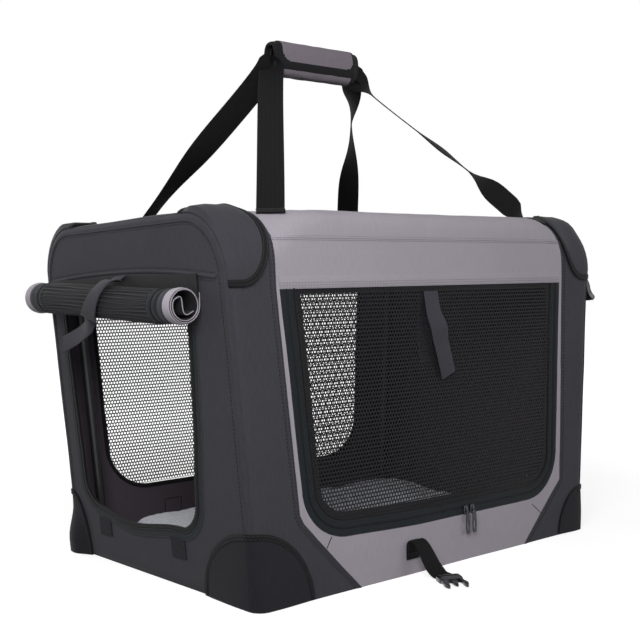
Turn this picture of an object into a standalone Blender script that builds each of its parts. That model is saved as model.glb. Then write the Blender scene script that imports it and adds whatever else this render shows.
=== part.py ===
"""Soft-sided pet carrier: fabric walls and mesh doors on a steel tube frame.

Frame of the part: metres, +Z up, X along the length (the entry with the rolled-up door is at -X),
-Y is the long front side, and the origin is the middle of the underside.
"""

import math

import bmesh
import bpy
from mathutils import Matrix, Vector

# Overall size of the fabric box. Its two ends lean outwards, so it is longer at the top.
HEIGHT = 0.51
WIDTH = 0.49
BASE_LENGTH = 0.66
TOP_LENGTH = 0.74

# Stock that the carrier is made from.
FABRIC = 0.003
GAP = 0.0003
TUBE_R = 0.007
TUBE_SIDES = 12
PLATE = 0.0025
PIN_R = 0.003
PIN_PLAY = 0.0003
WEBBING = 0.0018
CARRY_WEB_WIDTH = 0.038
TIE_WEB_WIDTH = 0.028
BUCKLE_WEB_WIDTH = 0.025

# Edges of the box. The top long edges are tight along the middle and wide at the ends, where
# they follow the rounded top corners of the end panels. The end panels meet the rest in an edge of EDGE_R.
EDGE_R = 0.014
MIDDLE_TOP_R = 0.020
END_TOP_R = 0.085
TOP_R_END_INSET = 0.035
TOP_R_RUN = 0.120
WALL_TURNS = [0, 12, 24, 36]
TOP_TURNS = [36, 49.5, 63, 76.5, 90]
EDGE_STEPS = 2

# Frame.
PIN_RISE = 0.0217
POST_END_INSET = 0.0305
POST_SIDE_INSET = 0.040
POST_END = 0.008
BASE_RING_CORNER_R = 0.040
TOP_RING_CORNER_R = 0.045

# Floor inside.
BOARD_THICK = 0.004
BOARD_POST_CLEAR = 0.010
MAT_THICK = 0.024
MAT_CROWN = 0.006
MAT_POST_CLEAR = 0.010

# Front door, and the rear window of the same cut. Half widths at the top and at the bottom.
DOOR_TOP_DROP = 0.103
DOOR_LOW_Z = 0.068
DOOR_TOP_INSET = 0.047
DOOR_LOW_INSET = 0.074
DOOR_CORNER_R = 0.060
WINDOW_LOW_Z = 0.090
DOOR_BORDER = 0.020
NET_PITCH = 0.036
NET_STRAND = 0.0055

# End doors.
END_DOOR_TOP_DROP = 0.098
END_DOOR_LOW_Z = 0.072
END_DOOR_TOP_INSET = 0.077
END_DOOR_LOW_INSET = 0.085
END_DOOR_CORNER_R = 0.045
ENTRY_MIDDLE_Y = 0.025

# Mesh window in the top.
TOP_CUT_END_INSET = 0.045
TOP_CUT_SIDE_INSET = 0.085
TOP_CUT_CORNER_R = 0.050

# Rolled-up entry door.
ROLL_R = 0.024
ROLL_PITCH = 0.0046
ROLL_SLACK = 0.0012
ROLL_TURNS = 3.6
ROLL_INSET = 0.040
ROLL_MIDDLE_Y = 0.020
ROLL_SEAM_DROP = 0.076
ROLL_HANG = 0.041
ROLL_STEPS = 18

# Corner patches.
BOTTOM_GUARD_REACH = 0.105
BOTTOM_GUARD_RISE = 0.102
TOP_GUARD_REACH = 0.052
TOP_GUARD_HALF = 0.080
GUARD_THICK = 0.0025
GUARD_COLUMNS = 16
TOP_GUARD_LIFT = 0.0007

# Carrying straps and the padded wrap round them.
HANDLE_X = -0.015
HANDLE_RISE = 0.254
HANDLE_HALF_LENGTH = 0.083
WRAP_HALF_DEPTH = 0.017
WRAP_HALF_HEIGHT = 0.026
WRAP_PAD = 0.006
FRONT_ANCHOR_INSET = 0.072
REAR_ANCHOR_INSET = 0.108
ANCHOR_SIDE_INSET = 0.055
FOOT_LENGTH = 0.016
LEG_STEPS = 14

# Flaps over the doors' top seams, and the ties.
HEADER_CLEAR = 0.004
HEADER_WIDTH = 0.012
TIE_X = -0.013
TIE_LENGTH = 0.122
TIE_ROOT_DROP = 0.008
TIE_LEAN = 0.030
TIE_BULGE = 0.008
INNER_TIE_RISE = 0.012
PATCH_SIZE = 0.026
PATCH_Z = 0.050
FRONT_PATCH_Y = -0.068
REAR_PATCH_Y = 0.128

# Small hardware.
BUCKLE_WIDTH = 0.034
BUCKLE_LENGTH = 0.052
BUCKLE_THICK = 0.007
FRONT_STRAP_X = -0.060
REAR_STRAP_X = -0.150
LOW_STRAP_Z = 0.052
SIDE_STRAP_INSET = 0.040
SIDE_STRAP_DROP = 0.068
SIDE_STRAP_ROOT = 0.014
SIDE_STRAP_TILT = 24
SLIDER_Z = 0.075
SLIDER_X = 0.058
SLIDER_SPACING = 0.014

POST_Y = WIDTH / 2 - POST_SIDE_INSET
TOP_R_GROWS_TO = TOP_LENGTH / 2 - TOP_R_END_INSET
TOP_R_GROWS_FROM = TOP_R_GROWS_TO - TOP_R_RUN
DOOR_TOP_Z = HEIGHT - DOOR_TOP_DROP
DOOR_HALF_TOP = BASE_LENGTH / 2 - DOOR_TOP_INSET
DOOR_HALF_LOW = BASE_LENGTH / 2 - DOOR_LOW_INSET
END_DOOR_TOP_Z = HEIGHT - END_DOOR_TOP_DROP
END_DOOR_HALF_TOP = WIDTH / 2 - END_DOOR_TOP_INSET
END_DOOR_HALF_LOW = WIDTH / 2 - END_DOOR_LOW_INSET
TOP_CUT_HALF_X = BASE_LENGTH / 2 - TOP_CUT_END_INSET
TOP_CUT_HALF_Y = WIDTH / 2 - TOP_CUT_SIDE_INSET
ROLL_HALF_LENGTH = WIDTH / 2 - ROLL_INSET
ROLL_SEAM_Z = HEIGHT - ROLL_SEAM_DROP
ROLL_Z = ROLL_SEAM_Z - ROLL_HANG
HANDLE_Z = HEIGHT + HANDLE_RISE
FRONT_ANCHOR_X = BASE_LENGTH / 2 - FRONT_ANCHOR_INSET
REAR_ANCHOR_X = BASE_LENGTH / 2 - REAR_ANCHOR_INSET
ANCHOR_Y = WIDTH / 2 - ANCHOR_SIDE_INSET
SIDE_STRAP_Y = WIDTH / 2 - SIDE_STRAP_INSET
SIDE_STRAP_Z = HEIGHT - SIDE_STRAP_DROP
RIM_SEAM_Z = HEIGHT - END_TOP_R + END_TOP_R * math.sin(math.radians(WALL_TURNS[-1]))
TUBE_INSET = FABRIC + GAP + TUBE_R
TOP_TUBE_INSET = TUBE_INSET + 0.0018
SHOULDER = (END_TOP_R - TOP_TUBE_INSET) * math.sqrt(0.5)
TOP_SHOULDER_Z = HEIGHT - END_TOP_R + SHOULDER
BASE_PIN_Z = TUBE_INSET + PIN_RISE
TOP_PIN_Z = TOP_SHOULDER_Z - PIN_RISE
SIDES = {"front": -1, "rear": 1}
ENDS = {"left": -1, "right": 1}

CHARCOAL = ("woven_charcoal", "#3f3f44", 0.85, 0.0)
GREY = ("woven_grey", "#9b949d", 0.85, 0.0)
MESH = ("knitted_mesh_black", "#1d1e21", 0.8, 0.0)
WEB = ("webbing_black", "#18181a", 0.8, 0.0)
TAPE = ("zip_tape_black", "#20262a", 0.75, 0.0)
STEEL = ("powder_coated_steel", "#26272a", 0.45, 0.6)
PLASTIC = ("moulded_plastic_black", "#101012", 0.4, 0.0)
BOARD = ("board_grey", "#6f6f72", 0.7, 0.0)
FLEECE = ("fleece_pale", "#b8bcc6", 0.95, 0.0)
ZINC = ("zinc_grey", "#55575a", 0.35, 0.9)


def remove_everything():
    """Empties the scene that the script starts in."""
    for thing in list(bpy.data.objects):
        bpy.data.objects.remove(thing)


def linear(hex_colour):
    """sRGB hex as linear red, green, blue and alpha."""
    parts = [int(hex_colour[i : i + 2], 16) / 255 for i in (1, 3, 5)]
    return [p / 12.92 if p <= 0.04045 else ((p + 0.055) / 1.055) ** 2.4 for p in parts] + [1.0]


def make_material(name, stock):
    """A Principled material for one object, of one stock of the carrier."""
    label, colour, roughness, metallic = stock
    material = bpy.data.materials.new(f"{label}_{name}")
    material.use_nodes = True
    shader = material.node_tree.nodes["Principled BSDF"]
    shader.inputs["Base Color"].default_value = linear(colour)
    shader.inputs["Roughness"].default_value = roughness
    shader.inputs["Metallic"].default_value = metallic
    return material


def add_object(name, mesh, stock, origin=(0, 0, 0)):
    """Puts a bmesh in the scene as one named object with its origin at a world point."""
    bmesh.ops.recalc_face_normals(mesh, faces=mesh.faces)
    bmesh.ops.translate(mesh, verts=mesh.verts, vec=-Vector(origin))
    data = bpy.data.meshes.new(name)
    mesh.to_mesh(data)
    mesh.free()
    data.shade_smooth()
    data.set_sharp_from_angle(angle=math.radians(35))
    thing = bpy.data.objects.new(name, data)
    thing.location = origin
    bpy.context.scene.collection.objects.link(thing)
    data.materials.append(make_material(name, stock))
    return thing


def hide_cutter(thing):
    """Marks an object as a cutter, which isn't part of the carrier."""
    thing.hide_render = True
    thing.display_type = "WIRE"
    return thing


def combine(thing, cutter, operation):
    """Adds or takes away one closed body."""
    modifier = thing.modifiers.new(operation.lower(), "BOOLEAN")
    modifier.operation = operation
    modifier.solver = "EXACT"
    modifier.object = hide_cutter(cutter)
    return thing


def thick_sheet(outer, inner, faces):
    """A closed sheet between two layers of points that share one list of faces."""
    mesh = bmesh.new()
    layers = [[mesh.verts.new(p) for p in points] for points in (outer, inner)]
    uses = {}
    for face in faces:
        for layer in layers:
            mesh.faces.new([layer[i] for i in face])
        for a, b in zip(face, face[1:] + face[:1]):
            uses.setdefault(frozenset((a, b)), []).append((a, b))
    first, second = layers
    for sides in uses.values():
        if len(sides) == 1:
            a, b = sides[0]
            mesh.faces.new((first[a], first[b], second[b], second[a]))
    return mesh


def slab(outer, inner):
    """A closed sheet between two grids of points."""
    rows, columns = len(outer), len(outer[0])
    faces = []
    for i in range(rows - 1):
        for j in range(columns - 1):
            corner = i * columns + j
            faces.append([corner, corner + 1, corner + columns + 1, corner + columns])
    return thick_sheet(sum(outer, []), sum(inner, []), faces)


def prism(low, high):
    """A closed body between two outlines with the same number of points."""
    mesh = bmesh.new()
    bottom = [mesh.verts.new(p) for p in low]
    top = [mesh.verts.new(p) for p in high]
    count = len(bottom)
    for i in range(count):
        k = (i + 1) % count
        mesh.faces.new((bottom[i], bottom[k], top[k], top[i]))
    mesh.faces.new(bottom)
    mesh.faces.new(top)
    return mesh


def swept(sections, closed=False):
    """A tube through a list of cross-sections, with flat ends unless it closes on itself."""
    mesh = bmesh.new()
    rings = [[mesh.verts.new(p) for p in section] for section in sections]
    count = len(rings[0])
    for i in range(len(rings) if closed else len(rings) - 1):
        a, b = rings[i], rings[(i + 1) % len(rings)]
        for j in range(count):
            k = (j + 1) % count
            mesh.faces.new((a[j], a[k], b[k], b[j]))
    bmesh.ops.triangulate(mesh, faces=mesh.faces)
    if not closed:
        mesh.faces.new(rings[0])
        mesh.faces.new(rings[-1])
    return mesh


def circle(centre, across, up, radius, sides):
    """Points round a centre in the plane of two unit directions."""
    centre, across, up = Vector(centre), Vector(across), Vector(up)
    turns = [2 * math.pi * (i + 0.5) / sides for i in range(sides)]
    return [centre + (across * math.cos(t) + up * math.sin(t)) * radius for t in turns]


def rod(start, end, radius, sides=TUBE_SIDES):
    """A straight round bar."""
    along = (Vector(end) - Vector(start)).normalized()
    across = Vector((1, 0, 0)) if abs(along.x) < 0.9 else Vector((0, 1, 0))
    up = along.cross(across).normalized()
    across = up.cross(along).normalized()
    return prism(*[circle(p, across, up, radius, sides) for p in (start, end)])


def block(low, high):
    """A plain rectangular body between two corners."""
    x0, y0, z0 = low
    x1, y1, z1 = high
    flat = [(x0, y0), (x1, y0), (x1, y1), (x0, y1)]
    return prism([(x, y, z0) for x, y in flat], [(x, y, z1) for x, y in flat])


def ribbon(points, widths, width, thickness):
    """Flat webbing through points, with its width along the direction given at each."""
    points = [Vector(p) for p in points]
    sections = []
    for i, point in enumerate(points):
        ahead = points[min(i + 1, len(points) - 1)] - points[max(i - 1, 0)]
        across = Vector(widths[i])
        across = (across - ahead.normalized() * across.dot(ahead.normalized())).normalized()
        face = ahead.cross(across).normalized()
        half, thin = across * width / 2, face * thickness / 2
        sections.append([point - half - thin, point + half - thin, point + half + thin, point - half + thin])
    return swept(sections)


def smooth_step(value):
    """Eases from 0 to 1."""
    value = min(max(value, 0.0), 1.0)
    return value * value * (3 - 2 * value)


def half_length(z):
    """Half the length of the box at a height."""
    return (BASE_LENGTH + (TOP_LENGTH - BASE_LENGTH) * z / HEIGHT) / 2


def post_x(z):
    """Distance of a post's middle from the middle of the box. The posts lean as the ends do."""
    return half_length(z) - POST_END_INSET


def top_radius(x):
    """Radius of the long top edges at a place along the length."""
    grown = smooth_step((abs(x) - TOP_R_GROWS_FROM) / (TOP_R_GROWS_TO - TOP_R_GROWS_FROM))
    return MIDDLE_TOP_R + (END_TOP_R - MIDDLE_TOP_R) * grown


def side_at_height(x, z, offset):
    """Half width and height of the long side's face."""
    radius = top_radius(x)
    over = max(z - (HEIGHT - radius), 0)
    return WIDTH / 2 - radius + math.sqrt((radius + offset) ** 2 - over**2), z


def side_along(x, distance, offset):
    """Half width and height at a distance along the surface from the middle of the top edge's curve."""
    radius = top_radius(x)
    arc = radius * math.pi / 4
    if distance < -arc:
        return WIDTH / 2 + offset, HEIGHT - radius + distance + arc
    if distance > arc:
        return WIDTH / 2 - radius - (distance - arc), HEIGHT + offset
    turn = math.pi / 4 + distance / radius
    reach = radius + offset
    return WIDTH / 2 - radius + reach * math.cos(turn), HEIGHT - radius + reach * math.sin(turn)


def over_rim(x, share, offset):
    """Half width and height of the top panel, from its seam (share 0) round the edge to the flat top (share 1)."""
    if share == 0:
        return side_at_height(x, RIM_SEAM_Z, offset)
    radius = top_radius(x)
    spring = HEIGHT - radius
    first = math.asin(max(RIM_SEAM_Z - spring, 0) / radius)
    turn = first + (math.pi / 2 - first) * share
    reach = radius + offset
    return WIDTH / 2 - radius + reach * math.cos(turn), spring + reach * math.sin(turn)


def wrapped_point(sx, sy, place, locate, offset):
    """A point of the front, top or rear, at a distance in from the end or, as ("edge", angle), round the end's edge."""
    if isinstance(place, tuple):
        angle = math.radians(place[1])
        sunk = -EDGE_R + (EDGE_R + offset) * math.cos(angle)
        width, height = locate(TOP_R_GROWS_TO, sunk)
        x = half_length(height) - EDGE_R + (EDGE_R + offset) * math.sin(angle)
    else:
        width, height = locate(place, offset)
        x = place * half_length(height) / half_length(HEIGHT)
    return Vector((sx * x, sy * width, height))


def edge_places(angle):
    """Places along half the length, from the end's seam to the middle."""
    grows = TOP_R_GROWS_TO - TOP_R_GROWS_FROM
    places = [("edge", angle * (1 - i / EDGE_STEPS)) for i in range(EDGE_STEPS + 1)]
    return places + [TOP_R_GROWS_TO - grows * i / 5 for i in range(6)]


def around_corner(sx, sy, distance, z, offset):
    """A point low on the box at a distance from the corner's middle, positive along the long side."""
    arc = EDGE_R * math.pi / 4
    turn = math.pi / 4 + max(min(distance, arc), -arc) / EDGE_R
    straight = max(abs(distance) - arc, 0)
    reach = EDGE_R + offset
    x = half_length(z) - EDGE_R + reach * math.cos(turn) - (straight if distance > 0 else 0)
    y = WIDTH / 2 - EDGE_R + reach * math.sin(turn) - (straight if distance < 0 else 0)
    return Vector((sx * x, sy * y, z))


def round_loop(half_x, half_y, radius, z, steps=4):
    """A rounded rectangle in plan, anticlockwise, with steps in each corner."""
    points = []
    for quarter, (sx, sy) in enumerate(((1, 1), (-1, 1), (-1, -1), (1, -1))):
        for i in range(steps + 1):
            turn = math.radians(90 * (quarter + i / steps))
            x = sx * (half_x - radius) + radius * math.cos(turn)
            y = sy * (half_y - radius) + radius * math.sin(turn)
            points.append((x, y, z))
    return points


def door_outline(half_top, half_low, low, top, radius, inset=0.0, steps=6):
    """A door's outline as (across, height) pairs: square at the top seam, round at the bottom corners."""
    half_top, half_low, low, top = half_top - inset, half_low - inset, low + inset, top - inset
    radius = radius - inset
    right = [(half_top, top)]
    for i in range(steps + 1):
        turn = math.radians(90 * i / steps)
        right.append((half_low - radius + radius * math.cos(turn), low + radius - radius * math.sin(turn)))
    return right + [(-u, v) for u, v in reversed(right)]


FRONT_CUT = dict(half_top=DOOR_HALF_TOP, half_low=DOOR_HALF_LOW, low=DOOR_LOW_Z, top=DOOR_TOP_Z, radius=DOOR_CORNER_R)
REAR_CUT = dict(FRONT_CUT, low=WINDOW_LOW_Z)
END_CUT = dict(
    half_top=END_DOOR_HALF_TOP,
    half_low=END_DOOR_HALF_LOW,
    low=END_DOOR_LOW_Z,
    top=END_DOOR_TOP_Z,
    radius=END_DOOR_CORNER_R,
)


def on_long_side(sy, outline, offset):
    """A door outline laid on the front or the rear face."""
    return [(u, sy * (WIDTH / 2 + offset), v) for u, v in outline]


def on_end(sx, outline, offset, middle=0.0):
    """A door outline laid on a leaning end face."""
    return [(sx * (half_length(v) + offset), middle + u, v) for u, v in outline]


def seam_angle(side):
    """Where a panel ends on the edge between an end and the rest, a hair short of the middle."""
    half_gap = math.degrees(GAP / 2 / (EDGE_R - FABRIC))
    return 45 - half_gap if side == "long" else 45 + half_gap


def long_wall(side, sy, cut, stock):
    """A front or rear wall from end seam to end seam, with its door or window cut out."""
    levels = [0.0] + [HEIGHT - END_TOP_R * (1 - math.sin(math.radians(t))) for t in WALL_TURNS]
    levels[-1] -= GAP
    half = edge_places(seam_angle("long"))
    places = [(-1, p) for p in half] + [(1, p) for p in half[::-1]]
    grids = []
    for offset in (0.0, -FABRIC):
        grid = []
        for z in levels:
            row = []
            for sx, place in places:
                row.append(wrapped_point(sx, sy, place, lambda x, o, z=z: side_at_height(x, z, o), offset))
            grid.append(row)
        grids.append(grid)
    wall = add_object(f"{side}_wall", slab(*grids), stock)
    outline = door_outline(**cut)
    reach = 0.02
    solid = prism(on_long_side(sy, outline, -reach), on_long_side(sy, outline, reach))
    return combine(wall, add_object(f"{side}_wall_cut", solid, stock), "DIFFERENCE")


def end_outline(offset):
    """The end panel's outline as (across, height) pairs, from foot to foot over the top."""
    half = [(WIDTH / 2 + offset, 0.0)]
    spring = HEIGHT - END_TOP_R
    for degrees in WALL_TURNS + TOP_TURNS[1:]:
        turn = math.radians(degrees)
        reach = END_TOP_R + offset
        half.append((WIDTH / 2 - END_TOP_R + reach * math.cos(turn), spring + reach * math.sin(turn)))
    return [(-y, z) for y, z in half] + half[::-1]


def end_wall(end, sx):
    """A leaning end wall with rounded top corners and its door cut out."""
    first = seam_angle("end")
    angles = [first + (90 - first) * i / EDGE_STEPS for i in range(EDGE_STEPS + 1)]
    layers = []
    for offset in (0.0, -FABRIC):
        points = []
        for angle in angles:
            turn = math.radians(angle)
            for y, z in end_outline(-EDGE_R + (EDGE_R + offset) * math.cos(turn)):
                points.append((sx * (half_length(z) - EDGE_R + (EDGE_R + offset) * math.sin(turn)), y, z))
        layers.append(points)
    count = len(end_outline(0.0))
    faces = []
    for i in range(EDGE_STEPS):
        for j in range(count - 1):
            corner = i * count + j
            faces.append([corner, corner + 1, corner + count + 1, corner + count])
    faces.append([EDGE_STEPS * count + j for j in range(count)])
    wall = add_object(f"{end}_end_wall", thick_sheet(*layers, faces), CHARCOAL)
    outline = door_outline(**END_CUT)
    reach = 0.02
    middle = ENTRY_MIDDLE_Y if end == "left" else 0.0
    solid = prism(on_end(sx, outline, -reach, middle), on_end(sx, outline, reach, middle))
    return combine(wall, add_object(f"{end}_end_wall_cut", solid, CHARCOAL), "DIFFERENCE")


def make_walls():
    """The four fabric walls, and the mesh window that is sewn into the rear one."""
    long_wall("front", -1, FRONT_CUT, GREY)
    long_wall("rear", 1, REAR_CUT, CHARCOAL)
    for end, sx in ENDS.items():
        end_wall(end, sx)
    outline = door_outline(**REAR_CUT, inset=GAP)
    window = prism(on_long_side(1, outline, -FABRIC), on_long_side(1, outline, 0))
    add_object("rear_window", window, MESH)


def net_holes(half, low, top, radius):
    """Centres of the hexagonal holes that lie whole inside a door's border."""
    centres = []
    rise = NET_PITCH * math.sqrt(3) / 2
    rows = int((top - low) / rise) + 1
    columns = int(half / NET_PITCH) + 1
    hole = NET_PITCH / math.sqrt(3)
    for row in range(rows):
        z = low + hole + row * rise
        shift = NET_PITCH / 2 * (row % 2)
        for column in range(-columns, columns + 1):
            x = column * NET_PITCH + shift
            beyond_x = max(abs(x) - (half - radius), 0)
            beyond_z = max(low + radius - z, 0)
            in_corner = beyond_x > 0 and beyond_z > 0
            fits = math.hypot(beyond_x, beyond_z) + hole < radius if in_corner else abs(x) + hole < half
            if fits and z + hole < top:
                centres.append((x, z))
    return centres


def make_front_door():
    """The mesh front door in its zip border, with a coarse net for the fine mesh."""
    y_out, y_in = -WIDTH / 2, -WIDTH / 2 + FABRIC
    outline = door_outline(**FRONT_CUT, inset=GAP)
    hinge = (0, y_out, DOOR_TOP_Z)
    body = prism(on_long_side(-1, outline, -FABRIC), on_long_side(-1, outline, 0))
    door = add_object("front_door", body, MESH, hinge)
    holes = bmesh.new()
    radius = (NET_PITCH - NET_STRAND) / math.sqrt(3)
    inner = dict(
        half=DOOR_HALF_LOW - DOOR_BORDER,
        low=DOOR_LOW_Z + DOOR_BORDER,
        top=DOOR_TOP_Z - DOOR_BORDER,
        radius=DOOR_CORNER_R - DOOR_BORDER,
    )
    reach = FABRIC * 2
    for x, z in net_holes(**inner):
        turns = [math.radians(60 * i + 30) for i in range(6)]
        flat = [(x + radius * math.cos(t), z + radius * math.sin(t)) for t in turns]
        sides = [[holes.verts.new((u, y, v)) for u, v in flat] for y in (y_out - reach, y_in + reach)]
        for i in range(6):
            k = (i + 1) % 6
            holes.faces.new((sides[0][i], sides[0][k], sides[1][k], sides[1][i]))
        holes.faces.new(sides[0])
        holes.faces.new(sides[1])
    combine(door, add_object("front_door_net_cut", holes, MESH), "DIFFERENCE")


def make_right_end_door():
    """The closed fabric door of the right end."""
    outline = door_outline(**END_CUT, inset=GAP)
    hinge = (half_length(END_DOOR_TOP_Z), 0, END_DOOR_TOP_Z)
    body = prism(on_end(1, outline, -FABRIC), on_end(1, outline, 0))
    add_object("right_end_door", body, CHARCOAL, hinge)


def make_headers():
    """Flaps that cover the top seams of the front door and of the right end door."""
    low, high = DOOR_TOP_Z + HEADER_CLEAR, DOOR_TOP_Z + HEADER_CLEAR + HEADER_WIDTH
    y = -WIDTH / 2 - GAP
    add_object("front_header", block((-DOOR_HALF_TOP, y - WEBBING, low), (DOOR_HALF_TOP, y, high)), GREY)
    heights = (END_DOOR_TOP_Z + HEADER_CLEAR, END_DOOR_TOP_Z + HEADER_CLEAR + HEADER_WIDTH)
    half = END_DOOR_HALF_TOP
    grids = []
    for offset in (GAP, GAP + WEBBING):
        grids.append([[(half_length(z) + offset, y, z) for y in (-half, half)] for z in heights])
    add_object("right_header", slab(*grids), CHARCOAL)


def make_top():
    """The top panel, which wraps over both long edges, and the mesh window in it."""
    half = edge_places(seam_angle("long"))
    places = [(-1, p) for p in half] + [(1, p) for p in half[::-1]]
    grids = []
    for offset in (0.0, -FABRIC):
        grid = []
        for sx, place in places:
            row = []
            for sy in (-1, 1):
                side = []
                for turn in TOP_TURNS:
                    share = (turn - TOP_TURNS[0]) / (TOP_TURNS[-1] - TOP_TURNS[0])
                    side.append(wrapped_point(sx, sy, place, lambda x, o, s=share: over_rim(x, s, o), offset))
                row += side if sy < 0 else side[::-1]
            grid.append(row)
        grids.append(grid)
    panel = add_object("top_panel", slab(*grids), GREY)
    reach = 0.01
    hole = [(TOP_CUT_HALF_X, TOP_CUT_HALF_Y, TOP_CUT_CORNER_R, z) for z in (HEIGHT - reach, HEIGHT + reach)]
    cutter = add_object("top_panel_cut", prism(*[round_loop(*h, steps=5) for h in hole]), GREY)
    combine(panel, cutter, "DIFFERENCE")
    shape = (TOP_CUT_HALF_X - GAP, TOP_CUT_HALF_Y - GAP, TOP_CUT_CORNER_R - GAP)
    add_object("top_window", prism(*[round_loop(*shape, z, steps=5) for z in (HEIGHT - FABRIC, HEIGHT)]), MESH)


def base_ring_path():
    """Centres and outward directions along the base ring, anticlockwise."""
    half_x, half_y, radius = half_length(0) - TUBE_INSET, WIDTH / 2 - TUBE_INSET, BASE_RING_CORNER_R
    path = []
    for quarter, (sx, sy) in enumerate(((1, 1), (-1, 1), (-1, -1), (1, -1))):
        for i in range(6):
            turn = math.radians(90 * (quarter + i / 5))
            outward = Vector((math.cos(turn), math.sin(turn), 0))
            centre = Vector((sx * (half_x - radius), sy * (half_y - radius), TUBE_INSET))
            path.append((centre + outward * radius, outward))
    return path


def top_ring_path():
    """The top ring's centres and outward directions. It stays under the fabric, so it dips at its corners."""
    half_x = half_length(TOP_SHOULDER_Z) - EDGE_R
    radius = TOP_RING_CORNER_R
    corner_y = WIDTH / 2 - END_TOP_R + SHOULDER - radius
    quarter_path = []
    for i in range(5):
        turn = math.radians(90 * i / 4)
        y = corner_y + radius * math.sin(turn)
        over = max(y - (WIDTH / 2 - END_TOP_R), 0)
        fabric_z = HEIGHT - END_TOP_R + math.sqrt((END_TOP_R - TOP_TUBE_INSET) ** 2 - over**2)
        centre = (half_x - radius + radius * math.cos(turn), y, fabric_z)
        quarter_path.append((centre, (math.cos(turn), math.sin(turn))))
    for i in range(1, 5):
        x = TOP_R_GROWS_TO - (TOP_R_GROWS_TO - TOP_R_GROWS_FROM) * (i + 1) / 5
        drop = (top_radius(x) - TOP_TUBE_INSET) * (1 - math.sqrt(0.5))
        quarter_path.append(((x, WIDTH / 2 - TOP_TUBE_INSET - drop, HEIGHT - TOP_TUBE_INSET - drop), (0, 1)))
    path = []
    for sx, sy in ((1, 1), (-1, 1), (-1, -1), (1, -1)):
        part = [(Vector((sx * c[0], sy * c[1], c[2])), Vector((sx * n[0], sy * n[1], 0))) for c, n in quarter_path]
        path += part if sx * sy > 0 else part[::-1]
    return path


def make_ring(name, path, ring_z, pin_z):
    """A ring of the frame, with two lug plates and a pin for each post."""
    ring = add_object(name, swept([circle(c, n, (0, 0, 1), TUBE_R, TUBE_SIDES) for c, n in path], closed=True), STEEL)
    lug_half = 0.008
    face = TUBE_R + 0.0004
    tip = pin_z + math.copysign(lug_half, pin_z - ring_z)
    near = [c for c, _ in path if c.x > 0 and c.y > 0]
    for sx in (-1, 1):
        for sy in (-1, 1):
            place = f"{name}_{'left' if sx < 0 else 'right'}_{'front' if sy < 0 else 'rear'}"
            for number, side in enumerate((-1, 1)):
                y = POST_Y + side * (face + PLATE / 2)
                a, b = next((a, b) for a, b in zip(near, near[1:]) if (a.y - y) * (b.y - y) <= 0)
                share = (y - a.y) / (b.y - a.y)
                root = a.lerp(b, share)
                xs = sorted(sx * x for x in (post_x(pin_z) - lug_half, post_x(pin_z) + lug_half, root.x))
                zs = sorted((tip, root.z))
                ys = sorted((sy * (y - PLATE / 2), sy * (y + PLATE / 2)))
                plate = block((xs[0], ys[0], zs[0]), (xs[-1], ys[1], zs[1]))
                combine(ring, add_object(f"{place}_lug_{number}", plate, STEEL), "UNION")
            ends = [(sx * post_x(pin_z), sy * POST_Y + side * (face + PLATE / 2), pin_z) for side in (-1, 1)]
            combine(ring, add_object(f"{place}_pin", rod(*ends, PIN_R, 10), STEEL), "UNION")
    return ring


def bored(thing, label, x, y, z):
    """Drills the pin hole across a post."""
    reach = 0.02
    drill = rod((x, y - reach, z), (x, y + reach, z), PIN_R + PIN_PLAY, 10)
    return combine(thing, add_object(f"{thing.name}_{label}_bore", drill, STEEL), "DIFFERENCE")


def make_post(sx, sy):
    """One corner post, pinned between the lugs of the two rings."""
    place = f"{'left' if sx < 0 else 'right'}_{'front' if sy < 0 else 'rear'}"
    ends = [(sx * post_x(z), sy * POST_Y, z) for z in (BASE_PIN_Z - POST_END, TOP_PIN_Z + POST_END)]
    post = add_object(f"{place}_post", rod(*ends, TUBE_R), STEEL)
    for label, z in (("foot", BASE_PIN_Z), ("head", TOP_PIN_Z)):
        bored(post, label, sx * post_x(z), sy * POST_Y, z)


def make_frame():
    """The base ring, the top ring and the four corner posts between them."""
    make_ring("base_frame", base_ring_path(), TUBE_INSET, BASE_PIN_Z)
    make_ring("top_frame", top_ring_path(), TOP_SHOULDER_Z, TOP_PIN_Z)
    for sx in (-1, 1):
        for sy in (-1, 1):
            make_post(sx, sy)


def make_floor():
    """The fabric underside, the stiff board on the base ring, and the fleece mat on the board."""
    half_x, half_y = half_length(0) - FABRIC - GAP, WIDTH / 2 - FABRIC - GAP
    radius = EDGE_R - FABRIC - GAP
    add_object("base_panel", prism(*[round_loop(half_x, half_y, radius, z) for z in (0.0, FABRIC)]), CHARCOAL)
    board_low = TUBE_INSET + TUBE_R + GAP
    board_x, board_y, board_r = post_x(board_low) - TUBE_R - BOARD_POST_CLEAR, half_y - 0.004, 0.008
    board = prism(*[round_loop(board_x, board_y, board_r, z) for z in (board_low, board_low + BOARD_THICK)])
    add_object("floor_board", board, BOARD)
    mat_low = board_low + BOARD_THICK + GAP
    mat_x, mat_y, mat_r = board_x - 0.004, POST_Y - TUBE_R - MAT_POST_CLEAR, 0.030
    edge = (MAT_THICK - MAT_CROWN) / 2
    rows = [
        (mat_low, 0.010),
        (mat_low + edge * 0.5, 0.002),
        (mat_low + edge, 0.0),
        (mat_low + edge * 1.6, 0.003),
        (mat_low + edge * 2, 0.012),
        (mat_low + MAT_THICK - MAT_CROWN * 0.45, 0.045),
        (mat_low + MAT_THICK - MAT_CROWN * 0.1, 0.095),
        (mat_low + MAT_THICK, 0.140),
    ]
    loops = []
    for z, back in rows:
        loops.append(round_loop(mat_x - back, mat_y - back, max(mat_r - back * 0.3, 0.012), z, steps=5))
    add_object("fleece_mat", swept(loops), FLEECE)


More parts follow.
